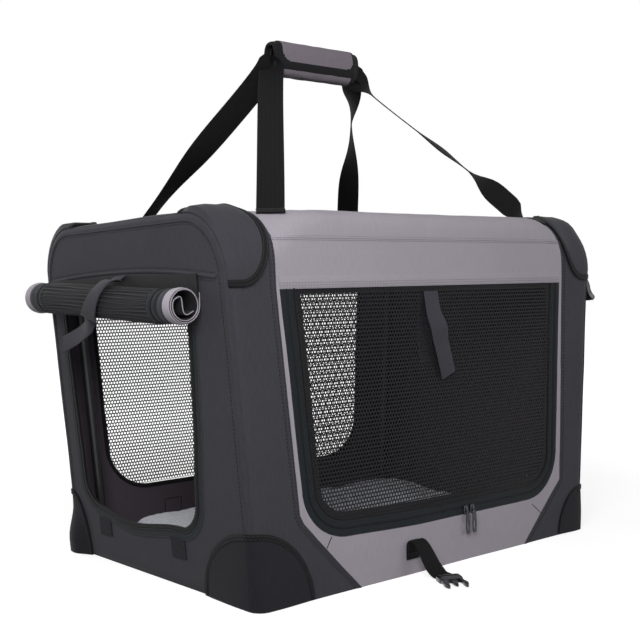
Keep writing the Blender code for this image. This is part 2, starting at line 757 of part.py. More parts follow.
def make_guards():
    """Padded patches over the eight corners of the box."""
    lift, least, rows = 0.001, 0.005, 5
    shares = [2 * i / GUARD_COLUMNS - 1 for i in range(GUARD_COLUMNS + 1)]
    bend = EDGE_R * math.pi / 4 / BOTTOM_GUARD_REACH
    low_shares = [-1, -0.88, -0.72, -0.5, -0.28, -bend, -bend / 2, 0, bend / 2, bend, 0.28, 0.5, 0.72, 0.88, 1]
    for sx in (-1, 1):
        for sy in (-1, 1):
            place = f"{'left' if sx < 0 else 'right'}_{'front' if sy < 0 else 'rear'}"
            low_grids, top_grids = [], []
            for offset in (GAP, GAP + GUARD_THICK):
                grid = []
                for part in range(rows):
                    row = []
                    for share in low_shares:
                        rise = least + (BOTTOM_GUARD_RISE - least) * math.sqrt(1 - share**2)
                        z = lift + (rise - lift) * part / (rows - 1)
                        row.append(around_corner(sx, sy, share * BOTTOM_GUARD_REACH, z, offset))
                    grid.append(row)
                low_grids.append(grid)
                grid = []
                end = half_length(HEIGHT - END_TOP_R) - EDGE_R
                stops = [("edge", seam_angle("long")), ("edge", seam_angle("long") / 2), ("edge", 0)]
                stops += [math.sin(math.radians(turn)) for turn in (10, 22, 35, 50, 66, 80)]
                for stop in stops:
                    edge = isinstance(stop, tuple)
                    spot = stop if edge else end - stop * TOP_GUARD_REACH
                    half = TOP_GUARD_HALF * (1 if edge else math.sqrt(1 - stop**2))
                    row = []
                    for share in shares:
                        along = half * share
                        lifted = offset + TOP_GUARD_LIFT
                        row.append(wrapped_point(sx, sy, spot, lambda x, o, p=along: side_along(x, p, o), lifted))
                    grid.append(row)
                top_grids.append(grid)
            add_object(f"{place}_bottom_guard", slab(*low_grids), CHARCOAL)
            add_object(f"{place}_top_guard", slab(*top_grids), CHARCOAL)


def make_entry_door():
    """The entry's mesh door, rolled up under its seam, and the strap that holds the roll."""
    thick = ROLL_PITCH - ROLL_SLACK
    centre_x = -(half_length(ROLL_Z) + GAP + ROLL_R + ROLL_SLACK)
    seam_x = -(half_length(ROLL_SEAM_Z) + GAP)
    outer = [(seam_x - thick, ROLL_SEAM_Z), (centre_x + ROLL_R - thick, ROLL_Z + ROLL_R / 2)]
    inner = [(seam_x, ROLL_SEAM_Z), (centre_x + ROLL_R, ROLL_Z + ROLL_R / 2)]
    for i in range(int(ROLL_TURNS * ROLL_STEPS) + 1):
        radius = ROLL_R - ROLL_PITCH * i / ROLL_STEPS
        turn = -2 * math.pi * i / ROLL_STEPS
        across, up = math.cos(turn), math.sin(turn)
        outer.append((centre_x + (radius - thick) * across, ROLL_Z + (radius - thick) * up))
        inner.append((centre_x + radius * across, ROLL_Z + radius * up))
    ends = (ROLL_MIDDLE_Y - ROLL_HALF_LENGTH, ROLL_MIDDLE_Y + ROLL_HALF_LENGTH)
    hinge = (seam_x, ROLL_MIDDLE_Y, ROLL_SEAM_Z)
    layers = [[[(x, y, z) for x, z in line] for y in ends] for line in (outer, inner)]
    add_object("entry_door_roll", slab(*layers), MESH, hinge)
    clear = ROLL_R + GAP + WEBBING / 2 + 0.0002
    points = [(seam_x - thick - GAP - WEBBING / 2, ROLL_MIDDLE_Y, ROLL_SEAM_Z - 0.002)]
    for i in range(19):
        turn = math.radians(75 + 12 * i)
        points.append((centre_x + clear * math.cos(turn), ROLL_MIDDLE_Y, ROLL_Z + clear * math.sin(turn)))
    add_object("roll_strap", ribbon(points, [(0, 1, 0)] * len(points), TIE_WEB_WIDTH, WEBBING), WEB, hinge)


def make_ties():
    """The two tie straps that hold the rolled front door: one outside, one inside."""
    shares = [0, 0.25, 0.5, 0.75, 1]
    leans = [TIE_LEAN * max((share - shares[1]) / (1 - shares[1]), 0) ** 1.3 for share in shares]
    bulge = [TIE_BULGE * math.sin(math.pi * share * 0.85) for share in shares]
    front = -WIDTH / 2 - GAP - WEBBING / 2
    top = DOOR_TOP_Z - TIE_ROOT_DROP
    points = [(TIE_X + n, front - out, top - TIE_LENGTH * share) for share, n, out in zip(shares, leans, bulge)]
    hinge = (TIE_X, front - WEBBING / 2, top)
    add_object("front_tie", ribbon(points, [(1, 0, 0)] * 5, TIE_WEB_WIDTH, WEBBING), WEB, hinge)
    back = -WIDTH / 2 + FABRIC + GAP + WEBBING / 2
    top = DOOR_TOP_Z + INNER_TIE_RISE
    points = [(TIE_X, back + out, top - TIE_LENGTH * share) for share, out in zip(shares, bulge)]
    add_object("inner_tie", ribbon(points, [(1, 0, 0)] * 5, TIE_WEB_WIDTH, WEBBING), WEB)


def make_hook_patches():
    """Two sewn hook-and-loop patches under the entry."""
    half = PATCH_SIZE / 2
    for name, y in (("front_hook_patch", FRONT_PATCH_Y), ("rear_hook_patch", REAR_PATCH_Y)):
        grids = []
        for offset in (GAP, GAP + WEBBING):
            rows = [PATCH_Z - half, PATCH_Z + half]
            grids.append([[(-(half_length(z) + offset), u, z) for u in (y - half, y + half)] for z in rows])
        add_object(name, slab(*grids), WEB)


def carry_points(sy):
    """Route and width directions of one carrying strap: sewn foot, leg, wrap, leg, sewn foot."""
    anchor_x = FRONT_ANCHOR_X if sy < 0 else REAR_ANCHOR_X
    foot_z = HEIGHT + GAP + WEBBING / 2
    lane = sy * (WEBBING / 2 + 0.0004)
    points, widths = [], []
    for sx in (-1, 1):
        end = Vector((HANDLE_X + sx * (HANDLE_HALF_LENGTH + 0.003), lane, HANDLE_Z))
        foot = Vector((sx * anchor_x, sy * ANCHOR_Y, foot_z))
        inward = (end - foot) * Vector((1, 1, 0))
        inward.normalize()
        flat = Vector((inward.y, -inward.x, 0)) * (1 if inward.y > 0 else -1)
        rise = foot.lerp(end, 0.4) + Vector((0, 0, 0.012))
        turn = end + Vector((sx * 0.045, sy * 0.006, -0.004))
        leg = [(foot - inward * FOOT_LENGTH, flat), (foot, flat)]
        for i in range(1, LEG_STEPS):
            t = i / LEG_STEPS
            u = 1 - t
            point = foot * u**3 + rise * (3 * u * u * t) + turn * (3 * u * t * t) + end * t**3
            upright = Vector((0, -sy * 0.4 * u, 1))
            leg.append((point, flat.lerp(upright, smooth_step((t - 0.3) * 1.8))))
        leg.append((end, Vector((0, 0, 1))))
        leg = leg if sx < 0 else leg[::-1]
        points += [p for p, _ in leg]
        widths += [w for _, w in leg]
    return points, widths


def make_handle():
    """Two carrying straps that run together through a padded wrap, whose front half opens as a flap."""
    for side, sy in SIDES.items():
        points, widths = carry_points(sy)
        add_object(f"{side}_carry_strap", ribbon(points, widths, CARRY_WEB_WIDTH, WEBBING), WEB)
    for name, start, end in (("handle_wrap", 1, 178), ("handle_flap", 182, 359)):
        grids = []
        for thick in (0.0, WRAP_PAD):
            grid = []
            for share in (-1, -0.96, -0.5, 0, 0.5, 0.96, 1):
                swell = 1 if abs(share) < 0.9 else 0.88 if abs(share) < 1 else 0.78
                depth = (WRAP_HALF_DEPTH - thick) * (swell if thick == 0 else 1)
                height = (WRAP_HALF_HEIGHT - thick) * (swell if thick == 0 else 1)
                row = []
                for i in range(11):
                    turn = math.radians(start + (end - start) * i / 10)
                    x = HANDLE_X + share * HANDLE_HALF_LENGTH
                    row.append((x, depth * math.sin(turn), HANDLE_Z + height * math.cos(turn)))
                grid.append(row)
            grids.append(grid)
        add_object(name, slab(*grids), GREY, (HANDLE_X, 0, HANDLE_Z + WRAP_HALF_HEIGHT))


def buckle_outline():
    """Half outline of the plug of a side-release buckle, from the webbing bar to the tip."""
    w, n = BUCKLE_WIDTH / 2, BUCKLE_LENGTH
    return [
        (w * 0.92, 0.0),
        (w, 0.004),
        (w, 0.018),
        (w * 0.94, 0.021),
        (w * 0.94, n - 0.018),
        (w, n - 0.014),
        (w * 0.88, n - 0.003),
        (w * 0.66, n),
        (w * 0.64, n - 0.016),
        (w * 0.70, 0.026),
        (w * 0.22, 0.024),
        (w * 0.18, n - 0.006),
        (w * 0.08, n - 0.003),
    ]


def plug_mesh():
    """The plug lies in the XY plane with its webbing bar at the origin and its prongs along +Y."""
    half = buckle_outline()
    outline = half + [(-x, y) for x, y in reversed(half)]
    thin = BUCKLE_THICK / 2
    return prism([(x, y, -thin) for x, y in outline], [(x, y, thin) for x, y in outline])


def socket_mesh():
    """The socket lies in the XY plane with its webbing bar at the origin and its mouth along +Y."""
    w, n, thin = BUCKLE_WIDTH / 2, BUCKLE_LENGTH * 0.85, BUCKLE_THICK * 0.65
    half = [(w * 0.9, 0.0), (w, 0.004), (w, n * 0.45), (w * 0.9, n * 0.55), (w * 0.9, n * 0.8), (w, n * 0.88), (w, n)]
    outline = half + [(-x, y) for x, y in reversed(half)]
    return prism([(x, y, -thin) for x, y in outline], [(x, y, thin) for x, y in outline])


def place_buckle(name, mesh, matrix, pivot):
    """A buckle with its webbing slot, and its mouth where it is a socket, laid by a matrix."""
    bmesh.ops.transform(mesh, matrix=matrix, verts=mesh.verts)
    thing = add_object(name, mesh, PLASTIC, pivot)
    reach = BUCKLE_THICK * 2
    half = BUCKLE_WEB_WIDTH / 2 + 0.0006
    slot = block((-half, 0.0035, -reach), (half, 0.0085, reach))
    bmesh.ops.transform(slot, matrix=matrix, verts=slot.verts)
    combine(thing, add_object(name + "_slot", slot, PLASTIC), "DIFFERENCE")
    if "side" in name:
        mouth = block((-half, BUCKLE_LENGTH * 0.3, -0.0025), (half, BUCKLE_LENGTH, 0.0025))
        bmesh.ops.transform(mouth, matrix=matrix, verts=mouth.verts)
        combine(thing, add_object(name + "_mouth", mouth, PLASTIC), "DIFFERENCE")
    return thing


def make_low_buckle(side, x):
    """A strap from the foot of a long side, with its plug lying on the ground."""
    sy = SIDES[side]
    face = WIDTH / 2 + GAP + WEBBING / 2
    lift = BUCKLE_THICK / 2 + GAP
    route = [
        (face, LOW_STRAP_Z),
        (face, LOW_STRAP_Z - PATCH_SIZE),
        (face + 0.003, LOW_STRAP_Z - PATCH_SIZE - 0.008),
        (face + 0.010, 0.0085),
        (face + 0.022, 0.0045),
        (face + 0.036, lift),
        (face + 0.050 - GAP, lift),
    ]
    points = [(x, sy * y, z) for y, z in route]
    pivot = (x, sy * (face + WEBBING / 2), LOW_STRAP_Z)
    add_object(f"{side}_strap", ribbon(points, [(1, 0, 0)] * len(points), BUCKLE_WEB_WIDTH, WEBBING), WEB, pivot)
    matrix = Matrix.Translation((x, sy * (face + 0.050), lift)) @ Matrix.Rotation(0 if sy > 0 else math.pi, 4, "Z")
    place_buckle(f"{side}_buckle", plug_mesh(), matrix, pivot)


def make_side_buckle(side):
    """A strap on the right end near a corner, with its socket hanging from it."""
    y = SIDES[side] * SIDE_STRAP_Y
    tilt = math.radians(SIDE_STRAP_TILT)
    down = Vector((math.sin(tilt), 0, -math.cos(tilt)))
    start, bend = (
        Vector((half_length(z) + GAP + WEBBING / 2, y, z)) for z in (SIDE_STRAP_Z, SIDE_STRAP_Z - SIDE_STRAP_ROOT)
    )
    pivot = start + Vector((WEBBING / 2, 0, 0))
    bar = bend + down * 0.020
    points = [start, bend, bend + down * 0.008, bar - down * (0.004 + GAP)]
    strap = ribbon(points, [(0, 1, 0)] * len(points), BUCKLE_WEB_WIDTH, WEBBING)
    add_object(f"{side}_side_strap", strap, WEB, pivot)
    across = Vector((0, 1, 0))
    out = across.cross(down)
    turn = Matrix((across, down, out)).transposed().to_4x4()
    matrix = Matrix.Translation(bar - down * 0.004) @ turn
    place_buckle(f"{side}_side_buckle", socket_mesh(), matrix, pivot)


def make_zip_sliders():
    """Two sliders that meet in the front door's lower run, each with its hanging pull."""
    face = -WIDTH / 2 - GAP
    for side, sx in ENDS.items():
        x = SLIDER_X + sx * SLIDER_SPACING / 2
        w, h, deep = 0.0052, 0.0065, 0.0042
        low = [(x - w, face, SLIDER_Z - h), (x + w, face, SLIDER_Z - h), (x + w, face, SLIDER_Z + h), (x - w, face, SLIDER_Z + h)]
        high = [(x + (u - x) * 0.7, face - deep, SLIDER_Z + (v - SLIDER_Z) * 0.75) for u, _, v in low]
        add_object(f"{side}_zip_slider", prism(low, high), ZINC)
        top = SLIDER_Z - h * 0.2
        y = face - deep - 0.0003
        long, half, thin = 0.034, 0.0042, 0.0020
        outline = [(-half * 0.7, 0), (half * 0.7, 0), (half, -long * 0.3), (half, -long * 0.93), (half * 0.6, -long)]
        outline += [(-half * 0.6, -long), (-half, -long * 0.93), (-half, -long * 0.3)]
        pull = prism([(x + u, y, top + v) for u, v in outline], [(x + u, y - thin, top + v) for u, v in outline])
        thing = add_object(f"{side}_zip_pull", pull, ZINC, (x, y - thin / 2, top))
        eye = block((x - half * 0.45, y - thin * 2, top - long * 0.85), (x + half * 0.45, y + thin, top - long * 0.45))
        combine(thing, add_object(f"{side}_zip_pull_eye", eye, ZINC), "DIFFERENCE")


def main():
    """Builds the carrier."""
    remove_everything()
    make_frame()
    make_floor()
    make_walls()
    make_front_door()
    make_right_end_door()
    make_headers()
    make_top()
    make_guards()
    make_entry_door()
    make_ties()
    make_hook_patches()
    make_handle()
    make_low_buckle("front", FRONT_STRAP_X)
    make_low_buckle("rear", REAR_STRAP_X)
    make_side_buckle("front")
    make_side_buckle("rear")
    make_zip_sliders()


main()
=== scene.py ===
"""A soft-sided pet carrier: fabric walls and mesh doors on a tube frame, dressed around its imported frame.

Metres, +Z up. The entry with the rolled-up door is at -X, and the long front side is at -Y.
"""

import math

import bmesh
import bpy
import numpy as np
from bpy.props import FloatProperty, FloatVectorProperty, PointerProperty
from mathutils import Matrix, Vector, noise
from mathutils.geometry import delaunay_2d_cdt


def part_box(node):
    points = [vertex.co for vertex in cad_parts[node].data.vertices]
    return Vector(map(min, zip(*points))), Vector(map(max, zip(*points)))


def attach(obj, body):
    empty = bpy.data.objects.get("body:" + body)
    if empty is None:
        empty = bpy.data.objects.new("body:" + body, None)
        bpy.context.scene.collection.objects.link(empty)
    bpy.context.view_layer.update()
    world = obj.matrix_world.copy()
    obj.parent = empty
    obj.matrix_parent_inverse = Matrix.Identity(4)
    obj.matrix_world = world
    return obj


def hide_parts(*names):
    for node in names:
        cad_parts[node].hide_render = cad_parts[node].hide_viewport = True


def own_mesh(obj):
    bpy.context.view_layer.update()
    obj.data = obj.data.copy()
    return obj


bl_info = {
    "name": "Pet carrier",
    "version": (1, 0, 0),
    "blender": (4, 5, 0),
    "location": "View3D > Sidebar > Pet carrier",
    "description": "Makes the cloth, mesh, straps and hardware of a soft-sided pet carrier",
    "category": "Object",
}

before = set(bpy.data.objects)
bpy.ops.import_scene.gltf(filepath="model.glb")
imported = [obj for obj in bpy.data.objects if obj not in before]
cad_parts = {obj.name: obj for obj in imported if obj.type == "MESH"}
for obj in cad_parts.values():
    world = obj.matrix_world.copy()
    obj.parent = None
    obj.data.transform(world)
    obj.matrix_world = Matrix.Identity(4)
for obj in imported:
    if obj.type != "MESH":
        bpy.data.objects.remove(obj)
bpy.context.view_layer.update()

# The fabric box, as in the CAD.
HEIGHT, WIDTH, BASE_LENGTH, TOP_LENGTH = 0.51, 0.49, 0.66, 0.74
FABRIC, GAP, WEBBING, STITCH_LIFT = 0.003, 0.0003, 0.0018, 0.0003
EDGE_R, MIDDLE_TOP_R, END_TOP_R = 0.014, 0.020, 0.085
# The top edges' radius grows between these places along the length.
GROWS_FROM, GROWS_TO = 0.215, 0.335
RIM_SEAM_Z = HEIGHT - END_TOP_R + END_TOP_R * math.sin(math.radians(36))
SPAN = TOP_LENGTH / 2 - EDGE_R
SEAM_TURN = EDGE_R * math.pi / 4
RIM_SPAN = 0.25
CORNER_Y, CORNER_Z, CORNER_R = WIDTH / 2 - END_TOP_R, HEIGHT - END_TOP_R, END_TOP_R - EDGE_R

# Doors and windows: half width at the top and at the bottom, low and top edge, corner radius.
FRONT_CUT = (0.283, 0.256, 0.068, 0.407, 0.076)
REAR_CUT = (0.292, 0.274, 0.084, 0.407, 0.080)
END_CUT = (0.168, 0.160, 0.072, 0.412, 0.045)
TOP_CUT_X, TOP_CUT_Y, TOP_CUT_R = 0.285, 0.160, 0.050
ENTRY_MIDDLE_Y = 0.025
FRONT_FLAP_Z, END_FLAP_Z = 0.4085, 0.416

# Corner patches: how far they reach from the corner, how high they rise, and how wide they lie over the rim.
TOP_GUARD_REACH, TOP_GUARD_HALF = 0.052, 0.080
BOTTOM_GUARD_REACH, BOTTOM_GUARD_RISE = 0.105, 0.097

# Straps: the handle's middle, the webbing's widths, and where the low and the side clips are sewn.
HANDLE_X, HANDLE_Z = -0.015, 0.764
CARRY_WIDTH, TIE_WIDTH, ROLL_TIE_WIDTH, CLIP_WIDTH = 0.038, 0.028, 0.027, 0.025
CLIP_X = {"front": -0.060, "rear": -0.150}
SIDE_CLIP_Y, SIDE_CLIP_TOP, SIDE_CLIP_BEND = 0.212, 0.442, 0.428

# Ties of the front door: their place along it, how far they hang, and where the outer and inner one begin.
TIE_X, TIE_DROP, TIE_TOP, INNER_TIE_TOP = -0.013, 0.122, 0.399, 0.419

# Hook patches under the entry: the middle of each across, width and height, low edge, and the sewing's inset.
HOOK_MIDDLES = {"front_hook_patch": -0.068, "rear_hook_patch": 0.136}
HOOK_WIDE, HOOK_TALL, HOOK_LOW, HOOK_INSET = 0.035, 0.028, 0.042, 0.002

# Buckles for the clips' webbing: half width, length of plug and socket, thickness of each, the socket's skin.
BUCKLE_HALF, PLUG_LONG, SOCKET_LONG = 0.017, 0.052, 0.0442
PLUG_THICK, SOCKET_THICK, SOCKET_SKIN = 0.007, 0.0091, 0.0018

# Zip sliders of the front door: their middle, how far each lies from it, and their height.
ZIP_X, ZIP_APART, ZIP_Z = 0.058, 0.007, 0.075

# The border between the grey middle panel and the charcoal ends, as (height, x) pairs.
LEFT_BORDER = (
    (0.0, -0.157), (0.038, -0.194), (0.078, -0.232), (0.103, -0.255), (0.115, -0.261),
    (0.190, -0.268), (0.297, -0.279), (0.407, -0.2885), (0.6, -0.291),
)
RIGHT_BORDER = ((0.0, 0.184), (0.090, 0.2755), (0.117, 0.2765), (0.420, 0.2895), (0.6, 0.2895))
TOP_BORDER_U = 0.2925

# The knitted mesh: the width of its cells, the share that each hole takes, and how far they are drawn out in
# height.
NET_PITCH, NET_HOLE, NET_DRAWN = 0.0053, 0.635, 1.15

# The photograph's camera: focal length and middle in the photograph's pixels, its angles, and its place.
PHOTO_PIXELS, FOCAL_PIXELS, MIDDLE_ACROSS_PIXELS, MIDDLE_DOWN_PIXELS = 640, 1069.0, 327.0, 346.0
CAMERA_YAW, CAMERA_PITCH, CAMERA_ROLL = 40.10, -2.90, -1.56
CAMERA_PLACE = (-1.11, -1.317, 0.402)

# Finishes, by the names of their materials.
CHARCOAL, GREY, LINING = "polyester_oxford_charcoal", "polyester_oxford_grey", "polyester_lining_dark"
BINDING, WEB, TAPE = "polyester_grosgrain_black", "nylon_webbing_black", "zip_tape_knitted"
MESH, PIPING, COIL = "polyester_knitted_mesh", "piping_tape_pale", "nylon_coil_black"
THREAD, GREY_THREAD = "sewing_thread_charcoal", "sewing_thread_grey"
PLASTIC, ZINC, STEEL = "acetal_moulded_black", "zinc_die_cast", "steel_powder_coated"
BOARD, FLEECE, TIE = "fibreboard_grey", "polyester_fleece_pale", "polyester_tape_charcoal"
HEAVY_SHADED, SHADED_WRAP = "polyester_oxford_heavy", "polyester_oxford_wrap"

SIDES = {"front": -1, "rear": 1}
ENDS = {"left": -1, "right": 1}


def linear(colour):
    """An sRGB hex colour as linear red, green, blue and alpha."""
    parts = [int(colour[i : i + 2], 16) / 255 for i in (1, 3, 5)]
    return tuple(p / 12.92 if p <= 0.04045 else ((p + 0.055) / 1.055) ** 2.4 for p in parts) + (1.0,)


def smooth_step(t):
    """A share from 0 to 1 with soft ends."""
    t = min(max(t, 0.0), 1.0)
    return t * t * (3 - 2 * t)


# Faces of the box


def half_length(z):
    """Half the length of the box at a height."""
    return (BASE_LENGTH + (TOP_LENGTH - BASE_LENGTH) * z / HEIGHT) / 2


def top_radius(x):
    """Radius of the long top edges at a place along the length."""
    grown = smooth_step((abs(x) - GROWS_FROM) / (GROWS_TO - GROWS_FROM))
    return MIDDLE_TOP_R + (END_TOP_R - MIDDLE_TOP_R) * grown


def side_at_height(x, z, offset):
    """Half width and height of a long side at a height."""
    radius = top_radius(x)
    over = max(z - (HEIGHT - radius), 0)
    return WIDTH / 2 - radius + math.sqrt((radius + offset) ** 2 - over**2), z


def side_along(x, distance, offset):
    """Half width and height at a distance along the surface from the middle of the top edge's curve."""
    radius = top_radius(x)
    arc = radius * math.pi / 4
    if distance < -arc:
        return WIDTH / 2 + offset, HEIGHT - radius + distance + arc
    if distance > arc:
        return WIDTH / 2 - radius - (distance - arc), HEIGHT + offset
    turn = math.pi / 4 + distance / radius
    reach = radius + offset
    return WIDTH / 2 - radius + reach * math.cos(turn), HEIGHT - radius + reach * math.sin(turn)


def over_rim(x, across, offset):
    """Half width and height of the top panel, from the middle out to its seam at RIM_SPAN."""
    radius = top_radius(x)
    flat = WIDTH / 2 - radius
    if across <= flat:
        return across, HEIGHT + offset
    turned = math.pi / 2 - math.asin(max(RIM_SEAM_Z - (HEIGHT - radius), 0) / radius)
    drop = max(HEIGHT - radius - RIM_SEAM_Z, 0)
    along = (across - flat) / (RIM_SPAN - flat) * (turned * radius + drop)
    if along > turned * radius:
        return WIDTH / 2 + offset, HEIGHT - radius - (along - turned * radius)
    turn = math.pi / 2 - along / radius
    reach = radius + offset
    return flat + reach * math.cos(turn), HEIGHT - radius + reach * math.sin(turn)


def round_end(u, locate, offset):
    """x, half width and height at a place along the length, which goes round the end's edge beyond SPAN."""
    if abs(u) <= SPAN:
        width, height = locate(u, offset)
        return u / SPAN * (half_length(height) - EDGE_R), width, height
    angle = (abs(u) - SPAN) / EDGE_R
    width, height = locate(GROWS_TO, -EDGE_R + (EDGE_R + offset) * math.cos(angle))
    x = half_length(height) - EDGE_R + (EDGE_R + offset) * math.sin(angle)
    return math.copysign(x, u), width, height


def long_face(sy):
    """The outer face of the front or rear wall by place along and height."""

    def face(u, z, offset=0.0):
        x, width, height = round_end(u, lambda x, o: side_at_height(x, z, o), offset)
        return Vector((x, sy * width, height))

    return face


def top_face(u, w, offset=0.0):
    """The outer face of the top panel by place along and place across."""
    x, width, height = round_end(u, lambda x, o: over_rim(x, abs(w), o), offset)
    return Vector((x, math.copysign(width, w), height))


def end_face(sx):
    """The outer face of an end wall by place across and height, round its edge outside the flat."""

    def face(y, z, offset=0.0):
        side = math.copysign(1, y)
        if z <= CORNER_Z:
            nearest, normal = Vector((side * (WIDTH / 2 - EDGE_R), z)), Vector((side, 0))
            beyond = abs(y) - (WIDTH / 2 - EDGE_R)
        elif abs(y) <= CORNER_Y:
            nearest, normal, beyond = Vector((y, HEIGHT - EDGE_R)), Vector((0, 1)), z - (HEIGHT - EDGE_R)
        else:
            middle = Vector((side * CORNER_Y, CORNER_Z))
            normal = (Vector((y, z)) - middle).normalized()
            nearest = middle + normal * CORNER_R
            beyond = (Vector((y, z)) - middle).length - CORNER_R
        if beyond <= 0:
            return Vector((sx * (half_length(z) + offset), y, z))
        angle = beyond / EDGE_R
        spot = nearest + normal * ((EDGE_R + offset) * math.sin(angle))
        x = half_length(spot.y) - EDGE_R + (EDGE_R + offset) * math.cos(angle)
        return Vector((sx * x, spot.x, spot.y))

    return face


def lay(face, u, v, lift=0.0):
    """A point on a face, with the small waves of stretched cloth."""
    spot = face(u, v, 0.0)
    wave = 0.0011 * noise.noise(spot * 8.0) + 0.00035 * noise.noise(spot * 31.0 + Vector((5, 2, 9)))
    return face(u, v, lift + wave)


def along_u(x, z):
    """The place along a long face that lies at x."""
    return x * SPAN / (half_length(z) - EDGE_R)


# Flat paths


def oblong(left, low, right, high):
    """A rectangle's corners, anticlockwise from the low left one."""
    return [(left, low), (right, low), (right, high), (left, high)]


def rounded(half_x, half_y, radius, steps):
    """A rectangle with round corners about the origin."""
    path = []
    for quarter, (sx, sy) in enumerate(((1, 1), (-1, 1), (-1, -1), (1, -1))):
        for i in range(steps + 1):
            turn = math.radians(90 * (quarter + i / steps))
            x = sx * (half_x - radius) + radius * math.cos(turn)
            path.append((x, sy * (half_y - radius) + radius * math.sin(turn)))
    return path


def run_lengths(path):
    """The distance along a path at each of its points."""
    ends = [0.0]
    for a, b in zip(path, path[1:]):
        ends.append(ends[-1] + (b - a).length)
    return ends


def bevel_curve(points, rounds=2, closed=True):
    """A path with its corners cut round by Chaikin's rule. An open path keeps its ends."""
    points = [Vector(p) for p in points]
    for _ in range(rounds):
        fine = [] if closed else [points[0]]
        for a, b in zip(points, points[1:] + points[:1] if closed else points[1:]):
            fine += [a.lerp(b, 0.25), a.lerp(b, 0.75)]
        points = fine if closed else fine + [points[-1]]
    return points


def door_path(cut, inset=0.0, closed=True):
    """A door's outline as (across, height) pairs: square at its top seam, round at its bottom corners."""
    half_top, half_low, low, top, radius = cut
    half_top, half_low, radius = half_top - inset, half_low - inset, radius - inset
    low, top = low + inset, top - inset * closed
    right, steps = [(half_top, top)], 14
    for i in range(steps + 1):
        turn = math.pi / 2 * i / steps
        right.append((half_low - radius + radius * math.cos(turn), low + radius - radius * math.sin(turn)))
    path = even(right + [(-u, v) for u, v in reversed(right)], 0.008, closed)
    if cut is not FRONT_CUT:
        return path
    # The front door is drawn a little wider towards its foot at the right, and lifted at its low left corner.
    drawn = []
    for u, v in path:
        wider = 0.042 * (top - v) * smooth_step((u - 0.05) / 0.15)
        raised = 0.0065 * smooth_step((-0.02 - u) / 0.2) * smooth_step((0.20 - v) / 0.12)
        drawn.append((u + wider, v + raised))
    return drawn


def even(path, step, closed=False):
    """A path with points added so that none lies further than a step from the next."""
    path = [Vector(p) for p in path]
    ends = path[1:] + path[:1] if closed else path[1:]
    out = []
    for a, b in zip(path, ends):
        count = max(1, math.ceil((b - a).length / step - 1e-6))
        out += [a.lerp(b, i / count) for i in range(count)]
    return out if closed else out + [path[-1]]


def shifted(path, distance, closed=False):
    """A flat path moved sideways, to the left of its direction."""
    path = [Vector(p) for p in path]
    count = len(path)
    out = []
    for i, p in enumerate(path):
        before = path[i - 1] if i or closed else None
        after = path[(i + 1) % count] if i + 1 < count or closed else None
        sides = []
        for a, b in ((before, p), (p, after)):
            if a is not None and b is not None and (b - a).length > 1e-9:
                along = (b - a).normalized()
                sides.append(Vector((-along.y, along.x)))
        mitre = sum(sides, Vector((0, 0))).normalized()
        out.append(p + mitre * (distance / max(mitre.dot(sides[0]), 0.4)))
    return out


def inside(points, loop):
    """Which of the points lie inside a closed flat loop."""
    points, loop = np.asarray(points, float), np.asarray([tuple(p) for p in loop], float)
    within = np.zeros(len(points), bool)
    for (x0, y0), (x1, y1) in zip(loop, np.roll(loop, -1, axis=0)):
        crosses = (y0 > points[:, 1]) != (y1 > points[:, 1])
        with np.errstate(divide="ignore", invalid="ignore"):
            at = (x1 - x0) * (points[:, 1] - y0) / (y1 - y0) + x0
        within ^= crosses & (points[:, 0] < at)
    return within


def cut_cloth(outline, holes=(), lines=(), pitch=0.012):
    """Flat points and triangles that fill an outline less its holes, with every line kept as edges."""
    points, edges = [], []
    for path, closed in [(outline, True)] + [(h, True) for h in holes] + [(p, False) for p in lines]:
        first, count = len(points), len(path)
        points += [tuple(p) for p in path]
        edges += [(first + i, first + (i + 1) % count) for i in range(count if closed else count - 1)]
    fixed = np.array(points)
    low, high = fixed.min(axis=0), fixed.max(axis=0)
    fill = []
    for row in range(1, int((high[1] - low[1]) / (pitch * 0.866)) + 1):
        y = low[1] + row * pitch * 0.866
        fill += [(x, y) for x in np.arange(low[0] + pitch / 2 * (row % 2), high[0], pitch)]
    fill = np.array(fill)
    keep = inside(fill, outline)
    for hole in holes:
        keep &= ~inside(fill, hole)
    fill = fill[keep]
    nearest = np.full(len(fill), 9.0)
    for p in fixed:
        nearest = np.minimum(nearest, np.hypot(fill[:, 0] - p[0], fill[:, 1] - p[1]))
    points += [tuple(p) for p in fill[nearest > pitch * 0.5]]
    made = delaunay_2d_cdt([Vector(p) for p in points], edges, [], 0, 1e-7)
    spots, triangles = made[0], made[2]
    middles = np.array([[sum(spots[i][k] for i in t) / 3 for k in (0, 1)] for t in triangles])
    keep = inside(middles, outline)
    for hole in holes:
        keep &= ~inside(middles, hole)
    return spots, [t for t, kept in zip(triangles, keep) if kept]


# Pieces


def grid(rows, columns, place):
    """Rows of places, each given by a function of its row and its column."""
    return [[place(a, b) for b in columns] for a in rows]


def rim_of(rows):
    """The points round the edge of a grid."""
    middle = rows[1:-1]
    return rows[0] + [row[-1] for row in middle] + rows[-1][::-1] + [row[0] for row in middle[::-1]]


